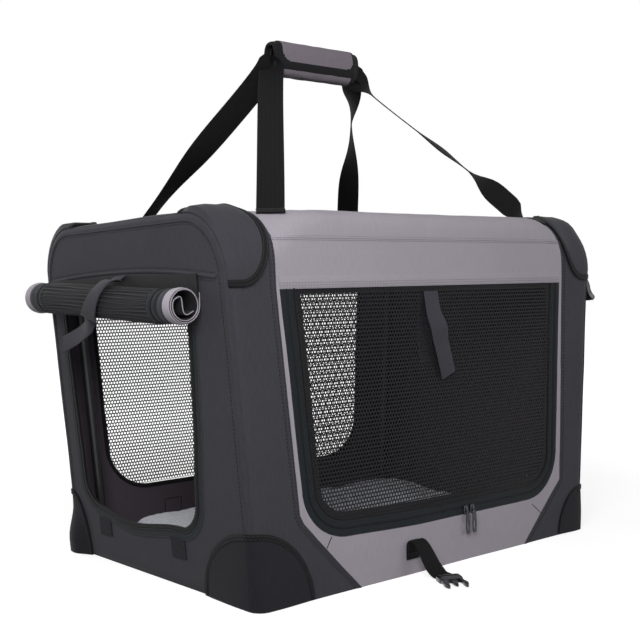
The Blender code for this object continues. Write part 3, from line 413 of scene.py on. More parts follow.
class Work:
    """Collects the points and faces of one piece, then makes its object."""

    def __init__(self):
        self.points, self.marks, self.faces, self.kinds = [], [], [], []

    def add(self, points, faces, marks, kind=0):
        """Points and faces, with a (u, v) place in metres for each point, which the weaves follow.

        The kind names the faces' finish, or is 0 for the piece's first one.
        """
        first = len(self.points)
        self.points += [tuple(p) for p in points]
        self.marks += [tuple(m) for m in marks]
        self.faces += [[first + i for i in face] for face in faces]
        self.kinds += [kind] * len(faces)

    def slab(self, outer, inner, marks, kind=0, closed=False):
        """A closed sheet between two grids of points; closed joins the last row to the first."""
        rows, columns = len(outer), len(outer[0])
        points = sum(outer, []) + sum(inner, [])
        both = sum(marks, []) * 2
        count = rows * columns
        faces = []
        for i in range(rows if closed else rows - 1):
            for j in range(columns - 1):
                a, b = i * columns + j, (i + 1) % rows * columns + j
                faces += [(a, a + 1, b + 1, b), (count + b, count + b + 1, count + a + 1, count + a)]
            a, b = i * columns, (i + 1) % rows * columns
            faces.append((a, b, count + b, count + a))
            a, b = a + columns - 1, b + columns - 1
            faces.append((b, a, count + a, count + b))
        if not closed:
            for j in range(columns - 1):
                a = (rows - 1) * columns + j
                faces += [(j + 1, j, count + j, count + j + 1), (a, a + 1, count + a + 1, count + a)]
        self.add(points, faces, both, kind)

    def sheet(self, rows, columns, outer, inner, mark, kind=0):
        """A closed sheet over rows and columns of places, with its sides and its weave given as functions."""
        self.slab(*(grid(rows, columns, place) for place in (outer, inner, mark)), kind)

    def cloth(self, face, outline, holes=(), lines=(), pitch=0.012, kinds=None):
        """Cloth cut to an outline and laid on a face, with its inner side of the lining."""
        spots, triangles = cut_cloth(outline, holes, lines, pitch)
        outer = [lay(face, u, v) for u, v in spots]
        inner = [lay(face, u, v, -FABRIC) for u, v in spots]
        self.doubled(spots, triangles, outer, inner, kinds, LINING)

    def doubled(self, spots, triangles, outer, inner, kinds=None, lining=0):
        """A flat cut of cloth with the points of its two sides, closed along its edges."""
        first, count, uses = len(self.points), len(spots), {}
        for t in triangles:
            kind = kinds(*(sum(spots[i][k] for i in t) / 3 for k in (0, 1))) if kinds else 0
            self.kinds += [kind, lining]
            self.faces += [[first + i for i in t], [first + count + i for i in reversed(t)]]
            for a, b in zip(t, list(t[1:]) + [t[0]]):
                uses.setdefault(frozenset((a, b)), []).append((a, b))
        rim = [u[0] for u in uses.values() if len(u) == 1]
        self.kinds += [lining] * len(rim)
        self.faces += [[first + b, first + a, first + count + a, first + count + b] for a, b in rim]
        self.points += [tuple(p) for p in outer + inner]
        self.marks += [tuple(p) for p in spots] * 2

    def tape(self, face, path, near, far, lift, thick, closed=False, kind=0, columns=3, crown=0.0):
        """A band laid on a face beside a flat path, between two distances to its left."""
        outer, inner, marks = [], [], []
        rails = [shifted(path, near + (far - near) * j / (columns - 1), closed) for j in range(columns)]
        rows = list(zip(*rails))
        run = 0.0
        for i, row in enumerate(rows):
            run += (row[0] - rows[i - 1][0]).length if i else 0.0
            top = []
            for j, (u, v) in enumerate(row):
                share = 2 * j / (columns - 1) - 1
                top.append(lay(face, u, v, lift + thick + crown * (1 - share * share)))
            outer.append(top)
            inner.append([lay(face, u, v, lift) for u, v in row])
            marks.append([(near + (far - near) * j / (columns - 1), run) for j in range(columns)])
        self.slab(outer, inner, marks, kind, closed)

    def cord(self, path, radius, closed=False, sides=8, kind=0):
        """A round cord along a path of points."""
        path = [Vector(p) for p in path]
        count = len(path)
        points, marks = [], []
        side = Vector((0.31, 0.52, 0.80))
        run = 0.0
        for i, p in enumerate(path):
            a = path[i - 1] if i or closed else p
            b = path[(i + 1) % count] if i + 1 < count or closed else p
            along = (b - a).normalized()
            side = (side - along * side.dot(along)).normalized()
            other = along.cross(side)
            run += (p - path[i - 1]).length if i else 0.0
            for k in range(sides):
                turn = 2 * math.pi * k / sides
                points.append(p + side * (radius * math.cos(turn)) + other * (radius * math.sin(turn)))
                marks.append((k / sides * 2 * math.pi * radius, run))
        faces = []
        for i in range(count if closed else count - 1):
            for k in range(sides):
                a, b = i * sides + k, (i + 1) % count * sides + k
                c, d = i * sides + (k + 1) % sides, (i + 1) % count * sides + (k + 1) % sides
                faces.append((a, c, d, b))
        if not closed:
            faces += [tuple(reversed(range(sides))), tuple(range((count - 1) * sides, count * sides))]
        self.add(points, faces, marks, kind)

    def laid_cord(self, face, path, radius, lift=0.0, closed=False, kind=0):
        """A cord laid on a face along a flat path."""
        self.cord([lay(face, u, v, lift) for u, v in path], radius, closed, kind=kind)

    def stitches(
        self, face, path, lift=STITCH_LIFT, closed=False, kind=0, length=0.0034, pitch=0.0052, width=0.0011
    ):
        """A row of sewn stitches on a face along a flat path, a little longer than real so that they show."""
        path = [Vector(p) for p in path] + ([Vector(path[0])] if closed else [])
        ends = run_lengths(path)
        spot = 0
        for n in range(int(ends[-1] / pitch)):
            pair = []
            for at in (n * pitch, n * pitch + length):
                while spot + 2 < len(ends) and ends[spot + 1] < at:
                    spot += 1
                span = max(ends[spot + 1] - ends[spot], 1e-9)
                pair.append(path[spot].lerp(path[spot + 1], (at - ends[spot]) / span))
            a, b = pair
            along = (b - a).normalized()
            side = Vector((-along.y, along.x)) * (width / 2)
            flat = [a - side, a + side, b + side, b - side]
            low = [lay(face, *p, lift - 0.0004) for p in flat]
            middle = (a + b) / 2
            top = [lay(face, *(middle + (p - middle) * 0.7), lift + 0.0004) for p in flat]
            faces = [(4, 5, 6, 7)] + [(i, (i + 1) % 4, 4 + (i + 1) % 4, 4 + i) for i in range(4)]
            self.add(low + top, faces, [(0, 0)] * 8, kind)

    def net(self, place, loop):
        """A knitted net of hexagonal holes over the whole cells inside a flat loop."""
        pitch, rise = NET_PITCH, NET_PITCH * math.sqrt(3) / 2 * NET_DRAWN
        reach, tall = pitch / math.sqrt(3), pitch / math.sqrt(3) * NET_DRAWN
        spots = np.array([tuple(p) for p in loop])
        low, high = spots.min(axis=0), spots.max(axis=0)
        cells = []
        for row in range(int((high[1] - low[1]) / rise) + 2):
            for column in range(int((high[0] - low[0]) / pitch) + 2):
                cells.append((column * 2 + row % 2, row))
        middles = np.array([(low[0] + c * pitch / 2, low[1] + r * rise) for c, r in cells])
        kept = inside(middles, loop)
        corners, points, marks, faces = {}, [], [], []

        def spot(u, v, lift):
            points.append(place(u, v, lift))
            marks.append((u, v))
            return len(points) - 1

        turns = [math.radians(60 * k + 30) for k in range(6)]
        steps = [(1, 1), (0, 2), (-1, 1), (-1, -1), (0, -2), (1, -1)]
        for (column, row), (u, v), keep in zip(cells, middles, kept):
            if not keep:
                continue
            outer, inner = [], []
            for turn, (step, half) in zip(turns, steps):
                key = (column + step, row * 3 + half)
                across, up = u + reach * math.cos(turn), v + tall * math.sin(turn)
                if key not in corners:
                    corners[key] = spot(across, up, 0.0004)
                outer.append(corners[key])
                across, up = u + reach * NET_HOLE * math.cos(turn), v + tall * NET_HOLE * math.sin(turn)
                inner.append(spot(across, up, 0.0))
            for k in range(6):
                faces.append((outer[k], outer[(k + 1) % 6], inner[(k + 1) % 6], inner[k]))
        self.add(points, faces, marks)

    def strap(self, points, widths, width):
        """Flat webbing with rounded selvedges through points, with its width along the direction at each."""
        points = [Vector(p) for p in points]
        ring = [(-1, 0), (-0.97, 0.5), (-0.9, 0.5), (0, 0.5), (0.9, 0.5), (0.97, 0.5)]
        ring += [(-a, -b) for a, b in ring]
        sides = len(ring)
        out, marks, run = [], [], 0.0
        for i, point in enumerate(points):
            along = (points[min(i + 1, len(points) - 1)] - points[max(i - 1, 0)]).normalized()
            across = Vector(widths[i])
            across = (across - along * across.dot(along)).normalized()
            normal = along.cross(across)
            run += (point - points[i - 1]).length if i else 0.0
            for a, b in ring:
                edge = 0.7 if abs(a) > 0.95 and b else 1.0
                out.append(point + across * (a * width / 2) + normal * (b * WEBBING * edge))
                marks.append((a * width / 2, run))
        faces = []
        for i in range(len(points) - 1):
            for k in range(sides):
                a, b = i * sides + k, i * sides + (k + 1) % sides
                faces.append((a, a + sides, b + sides, b))
        faces += [tuple(range(sides)), tuple(reversed(range(len(out) - sides, len(out))))]
        self.add(out, faces, marks)

    def plate(self, outline, holes, thick, matrix, soft=0.0006):
        """A moulded plate in the XY plane with softened edges, laid by a matrix."""
        loops = [[Vector(p) for p in outline]] + [[Vector(p) for p in hole] for hole in holes]
        points, faces, caps, joined = [], [], [], []
        for number, loop in enumerate(loops):
            area = sum(a.x * b.y - b.x * a.y for a, b in zip(loop, loop[1:] + loop[:1]))
            if (area > 0) != (number == 0):
                loop.reverse()
            small = shifted(loop, soft, True)
            count = len(loop)
            first = len(points)
            top = thick / 2
            levels = ((small, -top), (loop, -top + soft), (loop, top - soft), (small, top))
            for ring, z in levels:
                points += [Vector((p.x, p.y, z)) for p in ring]
            for level in range(3):
                for k in range(count):
                    a, b = first + level * count + k, first + level * count + (k + 1) % count
                    faces.append((a, b, b + count, a + count))
            joined.append((small, first, first + 3 * count))
        flat, edges, low, high = [], [], [], []
        for small, bottom, top in joined:
            start, count = len(flat), len(small)
            flat += small
            edges += [(start + k, start + (k + 1) % count) for k in range(count)]
            low += range(bottom, bottom + count)
            high += range(top, top + count)
        made = delaunay_2d_cdt(flat, edges, [], 0, 1e-9)
        middles = [sum((made[0][i] for i in t), Vector((0, 0))) / 3 for t in made[2]]
        keep = inside(middles, joined[0][0])
        for small, _, _ in joined[1:]:
            keep &= ~inside(middles, small)
        source = [ids[0] for ids in made[3]]
        for t, kept in zip(made[2], keep):
            if kept:
                caps.append([high[source[i]] for i in t])
                caps.append([low[source[i]] for i in reversed(t)])
        self.add([matrix @ p for p in points], faces + caps, [(p.x, p.y) for p in points])

    def finish(self, name, finishes, body, nodes=(), slot=None, sharp=42):
        """Makes the piece's object, which rides on a body and stands for CAD nodes."""
        data = bpy.data.meshes.new(name)
        data.from_pydata(self.points, [], self.faces)
        layer = data.uv_layers.new(name="Weave")
        corners = np.empty(len(data.loops), np.int32)
        data.loops.foreach_get("vertex_index", corners)
        layer.data.foreach_set("uv", np.asarray(self.marks, np.float32)[corners].ravel())
        kinds = [finishes.index(kind) if kind else 0 for kind in self.kinds]
        data.polygons.foreach_set("material_index", np.asarray(kinds, np.int32))
        for finish in finishes:
            data.materials.append(bpy.data.materials[finish])
        shaped = bmesh.new()
        shaped.from_mesh(data)
        bmesh.ops.recalc_face_normals(shaped, faces=shaped.faces)
        shaped.to_mesh(data)
        shaped.free()
        data.shade_smooth()
        data.set_sharp_from_angle(angle=math.radians(sharp))
        thing = bpy.data.objects.new(name, data)
        bpy.context.scene.collection.objects.link(thing)
        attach(thing, body)
        if nodes:
            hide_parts(*nodes)
        return thing


# Finishes


def add_node(tree, kind, settings=(), links=()):
    """Adds a shader node of a kind, sets its inputs or properties, and links its inputs."""
    made = tree.nodes.new("ShaderNode" + kind)
    for name, value in dict(settings).items():
        if isinstance(name, int) or name in made.inputs:
            made.inputs[name].default_value = value
        else:
            setattr(made, name, value)
    for name, source in dict(links).items():
        tree.links.new(source, made.inputs[name])
    return made


def scaled(colour, share):
    """A linear colour made lighter or darker."""
    return tuple(min(c * share, 1.0) for c in colour[:3]) + (1.0,)


def new_finish(name, settings):
    """A material with a Principled shader set to plain values."""
    finish = bpy.data.materials.new(name)
    finish.use_nodes = True
    tree = finish.node_tree
    shader = tree.nodes["Principled BSDF"]
    for socket, value in settings.items():
        shader.inputs[socket].default_value = value
    return tree, shader


def woven(name, colour, thread, rough, sheen, contrast, relief, cloud=0.16, ribs=False):
    """Woven cloth. Thread is the spacing that shows, in metres, and a wave's bands are 0.314 / scale wide."""
    settings = {"Roughness": rough, "Sheen Weight": sheen, "Sheen Roughness": 0.5, "Specular IOR Level": 0.14}
    tree, shader = new_finish(name, settings)
    place = add_node(tree, "UVMap", {"uv_map": "Weave"}).outputs["UV"]
    bands = {"X": 0.314 / (thread * (2.6 if ribs else 1.0)), "Y": 0.314 / thread}
    waves = []
    for direction, band in bands.items():
        settings = {"bands_direction": direction, "Scale": band, "Distortion": 0.5, "Detail": 1.0}
        waves.append(add_node(tree, "TexWave", settings, {"Vector": place}).outputs["Fac"])
    weave = add_node(tree, "Math", {"operation": "MULTIPLY"}, {0: waves[0], 1: waves[1]}).outputs[0]
    stretched = add_node(tree, "Mapping", {"Scale": (420, 60, 60)}, {"Vector": place}).outputs[0]
    slubs = add_node(tree, "TexNoise", {"Scale": 1.0, "Detail": 3.0}, {"Vector": stretched}).outputs["Fac"]
    where = add_node(tree, "NewGeometry").outputs["Position"]
    clouds = add_node(tree, "TexNoise", {"Scale": 11.0, "Detail": 4.0}, {"Vector": where}).outputs["Fac"]
    share = add_node(tree, "Math", {"operation": "MULTIPLY_ADD", 1: 0.55}, {0: weave, 2: slubs}).outputs[0]
    ramp = add_node(tree, "ValToRGB", {}, {"Fac": share})
    ramp.color_ramp.elements[0].position, ramp.color_ramp.elements[1].position = 0.3, 1.1
    ramp.color_ramp.elements[0].color = scaled(colour, 1 - contrast)
    ramp.color_ramp.elements[1].color = scaled(colour, 1 + contrast)
    settings = {"data_type": "RGBA", "blend_type": "MULTIPLY", 7: scaled((1, 1, 1), 1 - cloud)}
    tint = add_node(tree, "Mix", settings, {0: clouds, 6: ramp.outputs[0]}).outputs[2]
    tree.links.new(tint, shader.inputs["Base Color"])
    bump = add_node(tree, "Bump", {"Strength": 0.6, "Distance": relief}, {"Height": share}).outputs[0]
    tree.links.new(bump, shader.inputs["Normal"])


def moulded(name, colour, rough, metallic, grain, relief, coat=0.0):
    """Moulded, cast or coated stock with a fine skin. Grain is the size of its texture in metres."""
    settings = {"Roughness": rough, "Metallic": metallic, "Coat Weight": coat, "Coat Roughness": 0.15}
    tree, shader = new_finish(name, settings)
    where = add_node(tree, "TexCoord").outputs["Object"]
    skin = add_node(tree, "TexNoise", {"Scale": 1 / grain, "Detail": 2.0}, {"Vector": where}).outputs["Fac"]
    wear = add_node(tree, "TexNoise", {"Scale": 40.0, "Detail": 5.0}, {"Vector": where}).outputs["Fac"]
    settings = {"data_type": "RGBA", 6: scaled(colour, 0.8), 7: scaled(colour, 1.25)}
    tint = add_node(tree, "Mix", settings, {0: wear}).outputs[2]
    tree.links.new(tint, shader.inputs["Base Color"])
    bump = add_node(tree, "Bump", {"Strength": 0.4, "Distance": relief}, {"Height": skin}).outputs[0]
    tree.links.new(bump, shader.inputs["Normal"])


def make_finishes(look):
    """Every material of the carrier."""
    # 600-denier polyester oxford, plain woven: dull, with a fine even thread and a soft bloom at glancing
    # light. Its 0.5 mm threads are too fine to show, so they are drawn at 1.6 mm.
    woven(CHARCOAL, look.charcoal, 0.0016, 0.82, 0.06, 0.16, 0.0003)
    woven(GREY, look.grey, 0.0016, 0.82, 0.08, 0.07, 0.0003, cloud=0.10)
    # Coated inner side of the same cloth: darker and plain.
    woven(LINING, look.lining, 0.0020, 0.7, 0.1, 0.12, 0.0002)
    # Grosgrain binding: crosswise ribs, nearly black.
    woven(BINDING, look.binding, 0.0018, 0.75, 0.05, 0.25, 0.0004, ribs=True)
    # Nylon webbing: ribs along its length, drawn at 2.4 mm, with a slight shine of the filaments.
    woven(WEB, look.webbing, 0.0024, 0.8, 0.0, 0.35, 0.0006, ribs=True)
    # Thinner polyester tape of the ties: charcoal, plain woven, flatter than the webbing.
    woven(TIE, look.tie, 0.0018, 0.8, 0.08, 0.15, 0.0003)
    # Heavier 1200-denier oxford of the low corner patches: nearly black, dull, and made darker still as
    # painted shade for the shade low by the ground.
    woven(HEAVY_SHADED, look.guard, 0.0018, 0.85, 0.04, 0.18, 0.0004)
    # The wrap's softer grey cloth over its foam: darker than the panels, a painted shade for the shade it
    # lies in.
    woven(SHADED_WRAP, look.wrap, 0.0016, 0.88, 0.06, 0.08, 0.0003, cloud=0.10)
    # Knitted zip tape: a flat blue-black cloth.
    woven(TAPE, look.zip_tape, 0.0016, 0.75, 0.06, 0.2, 0.0002)
    # Warp-knitted polyester mesh: black yarn with a little shine.
    woven(MESH, look.mesh, 0.0012, 0.7, 0.08, 0.3, 0.0002)
    # Pale piping tape that edges the doors.
    woven(PIPING, look.piping, 0.0016, 0.7, 0.2, 0.1, 0.0002)
    # Sewing thread: bonded polyester, about as dark as the cloth it holds.
    woven(THREAD, look.thread, 0.0010, 0.6, 0.05, 0.1, 0.0001)
    woven(GREY_THREAD, look.grey_thread, 0.0010, 0.55, 0.2, 0.1, 0.0001)
    # Nylon coil of the zip: black filament, read as fine ribs across the zip.
    woven(COIL, look.coil, 0.0014, 0.6, 0.0, 0.3, 0.0003, ribs=True)
    # Acetal buckles: injection moulded, polished, black.
    moulded(PLASTIC, look.plastic, 0.24, 0.0, 0.0012, 0.00005, coat=0.2)
    # Zinc sliders: die cast, painted dark, worn bright at the edges.
    moulded(ZINC, look.zinc, 0.34, 0.85, 0.0010, 0.00008)
    # Steel tube with a matt powder coat: fine orange peel.
    moulded(STEEL, look.steel, 0.5, 0.1, 0.0016, 0.00015)
    # Fibreboard of the floor: dull grey, slightly mottled.
    moulded(BOARD, look.board, 0.8, 0.0, 0.0030, 0.0002)
    make_fleece(look)


def make_fleece(look):
    """Brushed polyester fleece: pale, rough, with curls of about 5 mm and a strong bloom."""
    settings = {"Roughness": 0.95, "Sheen Weight": 0.6, "Sheen Roughness": 0.6, "Specular IOR Level": 0.15}
    tree, shader = new_finish(FLEECE, settings)
    where = add_node(tree, "TexCoord").outputs["Object"]
    curls = add_node(tree, "TexVoronoi", {"Scale": 210.0}, {"Vector": where}).outputs["Distance"]
    pile = add_node(tree, "TexNoise", {"Scale": 700.0, "Detail": 3.0}, {"Vector": where}).outputs["Fac"]
    # Painted light and shade: the ramp makes the fleece lighter on the curls' tops and darker in the hollows
    # between them, where the bump sinks.
    ramp = add_node(tree, "ValToRGB", {}, {"Fac": curls})
    ramp.color_ramp.elements[0].color = scaled(look.fleece, 1.08)
    ramp.color_ramp.elements[1].color = scaled(look.fleece, 0.72)
    tree.links.new(ramp.outputs[0], shader.inputs["Base Color"])
    height = add_node(tree, "Math", {"operation": "SUBTRACT"}, {0: pile, 1: curls}).outputs[0]
    bump = add_node(tree, "Bump", {"Strength": 0.7, "Distance": 0.0025}, {"Height": height}).outputs[0]
    tree.links.new(bump, shader.inputs["Normal"])


def colour_setting(name, description, colour):
    """A colour that the panel shows."""
    shown = linear(colour)
    return FloatVectorProperty(name=name, description=description, size=4, subtype="COLOR", default=shown)


def power_setting(name, description, watts):
    """A lamp's power that the panel shows."""
    return FloatProperty(name=name, description=description, default=watts, min=0.0)


class CarrierLook(bpy.types.PropertyGroup):
    """Colours of the carrier's cloth and hardware."""

    charcoal: colour_setting("Charcoal cloth", "End panels and upper corner patches", "#3c3c42")
    grey: colour_setting("Grey cloth", "Middle panels", "#a09aa3")
    lining: colour_setting("Lining", "Inner side of the cloth", "#443d44")
    binding: colour_setting("Binding", "Tape over the raw edges", "#121214")
    webbing: colour_setting("Webbing", "Carrying and clip straps", "#0c0c0e")
    zip_tape: colour_setting("Zip tape", "Tape of the zips", "#1b2023")
    tie: colour_setting("Tie tape", "Ties of the doors", "#3b3b42")
    # Painted shade: the low patches' nearly black cloth is made darker still for the shade near the ground.
    guard: colour_setting("Corner patches", "Thick cloth of the low corner patches", "#232328")
    # Painted shade: the wrap's grey is the panels' grey made darker for the shade it lies in.
    wrap: colour_setting("Handle wrap", "Padded wrap of the handle", "#7a727b")
    mesh: colour_setting("Mesh", "Yarn of the net", "#17171a")
    piping: colour_setting("Piping", "Pale tape at the doors' edges", "#b4adb8")
    thread: colour_setting("Dark thread", "Stitches on dark cloth", "#27272b")
    grey_thread: colour_setting("Grey thread", "Stitches on grey cloth", "#837c86")
    coil: colour_setting("Zip coil", "Teeth of the zips", "#0e0f11")
    plastic: colour_setting("Plastic", "Buckles", "#0e0e10")
    zinc: colour_setting("Zinc", "Zip sliders and pulls", "#3c3d40")
    steel: colour_setting("Frame", "Coated steel tube", "#131416")
    board: colour_setting("Board", "Stiff floor", "#6a6a6e")
    fleece: colour_setting("Fleece", "Mat", "#c6cad6")


class StageLook(bpy.types.PropertyGroup):
    """The pale floor and the lamps."""

    floor: colour_setting("Floor", "Colour of the floor", "#f4f4f4")
    bounce: colour_setting("Bounce", "Shade of the floor as the carrier sees it", "#6a6a6a")
    key_power: power_setting("Key lamp", "Power of the main lamp in watts", 23.0)
    fill_power: power_setting("Fill lamp", "Power of the side lamps in watts", 16.0)


# Walls


def border_x(table, z):
    """Where the grey panel ends at a height."""
    for (z0, x0), (z1, x1) in zip(table, table[1:]):
        if z <= z1:
            return x0 + (x1 - x0) * (z - z0) / (z1 - z0)
    return table[-1][1]


def border_lines(top):
    """The two borders of the grey panel as flat paths on a long face."""
    lines = []
    for table in (LEFT_BORDER, RIGHT_BORDER):
        marks = [(z, x) for z, x in table if z < top] + [(top, border_x(table, top))]
        lines.append(even([(along_u(x, z), z) for z, x in marks], 0.010))
    return lines


def long_cloth(u, z):
    """The cloth at a place on a long face: grey between the borders, charcoal outside."""
    x = u / SPAN * (half_length(z) - EDGE_R)
    return GREY if border_x(LEFT_BORDER, z) < x < border_x(RIGHT_BORDER, z) else CHARCOAL


def top_cloth(u, w):
    """The cloth at a place on the top: grey in the middle, charcoal over the ends."""
    return CHARCOAL if abs(u) > TOP_BORDER_U else GREY


def edge_columns(low, high):
    """Lines that keep the vertical edges of a face round."""
    places = [s * (SPAN + SEAM_TURN * share) for s in (-1, 1) for share in (0, 0.5)]
    return [even([(u, low), (u, high)], 0.014) for u in places]


def on_long(path):
    """A path of x and height as places on a long face."""
    return [(along_u(x, z), z) for x, z in path]


def on_top(path):
    """A path of x and y as places on the top."""
    return [(along_u(x, HEIGHT), y) for x, y in path]


def end_outline(beyond):
    """The end wall's outline from foot to foot, a distance outside its flat part."""
    half = [(WIDTH / 2 - EDGE_R + beyond, 0.0)]
    for i in range(17):
        turn = math.pi / 2 * i / 16
        reach = CORNER_R + beyond
        half.append((CORNER_Y + reach * math.cos(turn), CORNER_Z + reach * math.sin(turn)))
    return even([(-y, z) for y, z in half] + half[::-1], 0.012)[::-1]


def make_long_wall(side, face):
    """One long wall, its borders' raised seams, and the sewing round its edges."""
    top = RIM_SEAM_Z - 0.0002
    far = SPAN + SEAM_TURN
    borders = border_lines(top)
    lines = [line[1:-1] for line in borders + edge_columns(0.0, top)]
    work = Work()
    hole = on_long(door_path({"front": FRONT_CUT, "rear": REAR_CUT}[side]))
    outline = even(oblong(-far, 0.0, far, top), 0.012, True)
    work.cloth(face, outline, [hole], lines, kinds=long_cloth)
    work.finish(f"{side}_wall_cloth", (GREY, CHARCOAL, LINING), "shell", (f"{side}_wall",), "woven_charcoal")
    seams = Work()
    for line, turn in zip(borders, (1, -1)):
        seams.tape(face, line, 0.0, 0.0050 * turn, 0.0003, 0.0005, kind=CHARCOAL, crown=0.0007)
        seams.laid_cord(face, shifted(line, 0.0052 * turn), 0.0007, 0.0003)
        seams.stitches(face, shifted(line, 0.0026 * turn), 0.0015, kind=THREAD)
        seams.stitches(face, shifted(line, 0.0085 * turn), kind=THREAD)
    seams.finish(f"{side}_wall_seams", (CHARCOAL, THREAD), "shell", slot="woven_charcoal")
    rim = Work()
    line = even([(border_x(table, top) * 1.005, top) for table in (LEFT_BORDER, RIGHT_BORDER)], 0.01)
    rim.tape(face, line, -0.0003, -0.0026, 0.0002, 0.0005, kind=GREY, crown=0.0002)
    rim.stitches(face, shifted(line, -0.0050), kind=GREY_THREAD)
    # A short dart near each low corner, the clip's root sewn on from inside, and the door's top hem.
    for dart in (((-0.2083, 0.0780), (-0.2170, 0.0640)), ((0.2055, 0.0598), (0.2290, 0.0410))):
        rim.laid_cord(face, even(on_long(dart), 0.004), 0.0006, kind=BINDING)
    x = CLIP_X[side]
    root = even(on_long(oblong(x - 0.016, 0.028, x + 0.016, 0.058)), 0.006, True)
    rim.laid_cord(face, root, 0.0007, -FABRIC, closed=True, kind=BINDING)
    rim.stitches(face, on_long([(x, 0.413) for x in np.linspace(-0.281, 0.281, 80)]), kind=GREY_THREAD)
    rim.finish(f"{side}_wall_hems", (GREY, GREY_THREAD, BINDING), "shell", slot="woven_grey")


class MakeLongWalls(bpy.types.Operator):
    """Make the front and rear walls: grey cloth between charcoal ends, with seams and stitching"""

    bl_idname = "carrier.long_walls"
    bl_label = "Long walls"

    def execute(self, context):
        for side, sy in SIDES.items():
            make_long_wall(side, long_face(sy))
        return {"FINISHED"}


def entry_path(end, closed=True):
    """The outline of an end's opening. The entry lies off the middle, and its low edge curls up."""
    path = []
    for y, z in door_path(END_CUT, closed=closed):
        if end == "left":
            raised = 0.0015
            raised += 0.0135 * smooth_step((y - 0.02) / 0.12) + 0.0125 * smooth_step((0.03 - y) / 0.13)
            z += raised * smooth_step((0.16 - z) / 0.09)
            near = smooth_step((-0.09 - y) / 0.05)
            bowed = 0.0075 * smooth_step((z - 0.18) / 0.2) - 0.0110 * smooth_step((0.24 - z) / 0.14)
            y += ENTRY_MIDDLE_Y - near * bowed
        path.append((y, z))
    return path


def make_end_wall(end, face):
    """One end wall with its bound opening and the seams round it."""
    loops = [end_outline(d)[1:-1] for d in (0.0, SEAM_TURN / 2)]
    work = Work()
    work.cloth(face, end_outline(SEAM_TURN), [entry_path(end)], loops)
    work.finish(f"{end}_end_cloth", (CHARCOAL, LINING), "shell", (f"{end}_end_wall",), "woven_charcoal")
    # The seam to the long sides: a raised band on the ridge with a cord along each edge.
    seams = Work()
    ridge = end_outline(SEAM_TURN)
    seams.tape(face, ridge, -0.0004, 0.0095, 0.0002, 0.0007, kind=CHARCOAL, columns=5, crown=0.0009)
    seams.laid_cord(face, ridge, 0.0013, 0.0006)
    seams.laid_cord(face, shifted(ridge, 0.0100), 0.0011, 0.0002)
    seams.stitches(face, shifted(ridge, 0.0135), kind=THREAD)
    # The seam across above the opening bows down towards its ends.
    ys = np.linspace(0.222, -0.222, 13)
    high = even([(y, 0.4369 - (0.26 if y < 0 else 0.16) * y * y) for y in ys], 0.012)
    seams.tape(face, high, -0.0022, 0.0022, 0.0, 0.0009, kind=CHARCOAL, crown=0.0010)
    seams.stitches(face, shifted(high, 0.0055), kind=THREAD)
    seams.stitches(face, shifted(high, -0.0055), kind=THREAD)
    seams.finish(f"{end}_end_seams", (CHARCOAL, THREAD), "shell", slot="woven_charcoal")
    # The opening's edge: a binding that wraps it, the zip's coil, and the flat zip tape outside it.
    binding = Work()
    edge = entry_path(end, closed=False)
    inward = -0.0010 if end == "left" else 0.0
    binding.tape(face, edge, inward, 0.0045, -0.0020, 0.0032, columns=5, kind=BINDING, crown=0.0006)
    binding.tape(face, edge, 0.0045, 0.0165, 0.0002, 0.0006, columns=4, kind=TAPE, crown=0.0003)
    binding.laid_cord(face, shifted(edge, 0.0062), 0.0012, 0.0010, kind=COIL)
    binding.laid_cord(face, shifted(edge, 0.0165), 0.0008, 0.0004, kind=CHARCOAL)
    for distance, lift in ((0.0105, 0.0010), (0.0143, 0.0009), (inward / 2, 0.0018)):
        binding.stitches(face, shifted(edge, distance), lift, kind=THREAD)
    cloths = (TAPE, THREAD, COIL, BINDING, CHARCOAL)
    binding.finish(f"{end}_end_binding", cloths, "shell", slot="webbing_black")


class MakeEndWalls(bpy.types.Operator):
    """Make the two end walls with their bound openings and the corded seams round them"""

    bl_idname = "carrier.end_walls"
    bl_label = "End walls"

    def execute(self, context):
        for end, sx in ENDS.items():
            make_end_wall(end, end_face(sx))
        return {"FINISHED"}


class MakeTop(bpy.types.Operator):
    """Make the top panel, its mesh window and the binding round it"""

    bl_idname = "carrier.top"
    bl_label = "Top"

    def execute(self, context):
        far = SPAN + SEAM_TURN
        outline = even(oblong(-far, -RIM_SPAN, far, RIM_SPAN), 0.011, True)
        hole = even(on_top(rounded(TOP_CUT_X, TOP_CUT_Y, TOP_CUT_R, 8)), 0.008, True)
        borders = [even([(s * TOP_BORDER_U, -RIM_SPAN), (s * TOP_BORDER_U, RIM_SPAN)], 0.01) for s in (-1, 1)]
        lines = [line[1:-1] for line in borders + edge_columns(-RIM_SPAN, RIM_SPAN)]
        work = Work()
        work.cloth(top_face, outline, [hole], lines, pitch=0.009, kinds=top_cloth)
        work.finish("top_cloth", (GREY, CHARCOAL, LINING), "shell", ("top_panel",), "woven_grey")
        seams = Work()
        for line, turn in zip(borders, (1, -1)):
            seams.tape(top_face, line, 0.0, 0.0045 * turn, 0.0003, 0.0005, crown=0.0003)
            seams.stitches(top_face, shifted(line, 0.0062 * turn), kind=THREAD)
        seams.tape(top_face, hole, 0.0006, -0.0090, 0.0002, 0.0007, True, TAPE, columns=4, crown=0.0004)
        seams.stitches(top_face, shifted(hole, -0.0072, True), 0.0010, closed=True, kind=THREAD)
        seams.finish("top_seams", (CHARCOAL, THREAD, TAPE), "shell", slot="woven_charcoal")
        net = Work()
        within = [(u / SPAN * (half_length(HEIGHT) - EDGE_R), w) for u, w in shifted(hole, -0.002, True)]
        net.net(lambda x, y, lift: top_face(along_u(x, HEIGHT), y, lift - 0.001), within)
        net.finish("top_window_net", (MESH,), "shell", ("top_window",), "knitted_mesh_black", sharp=70)
        return {"FINISHED"}


# Doors and windows


def long_net(work, face, loop, lift):
    """A net on a long face inside a loop of x and height."""
    work.net(lambda x, z, offset: face(along_u(x, z), z, offset + lift), loop)


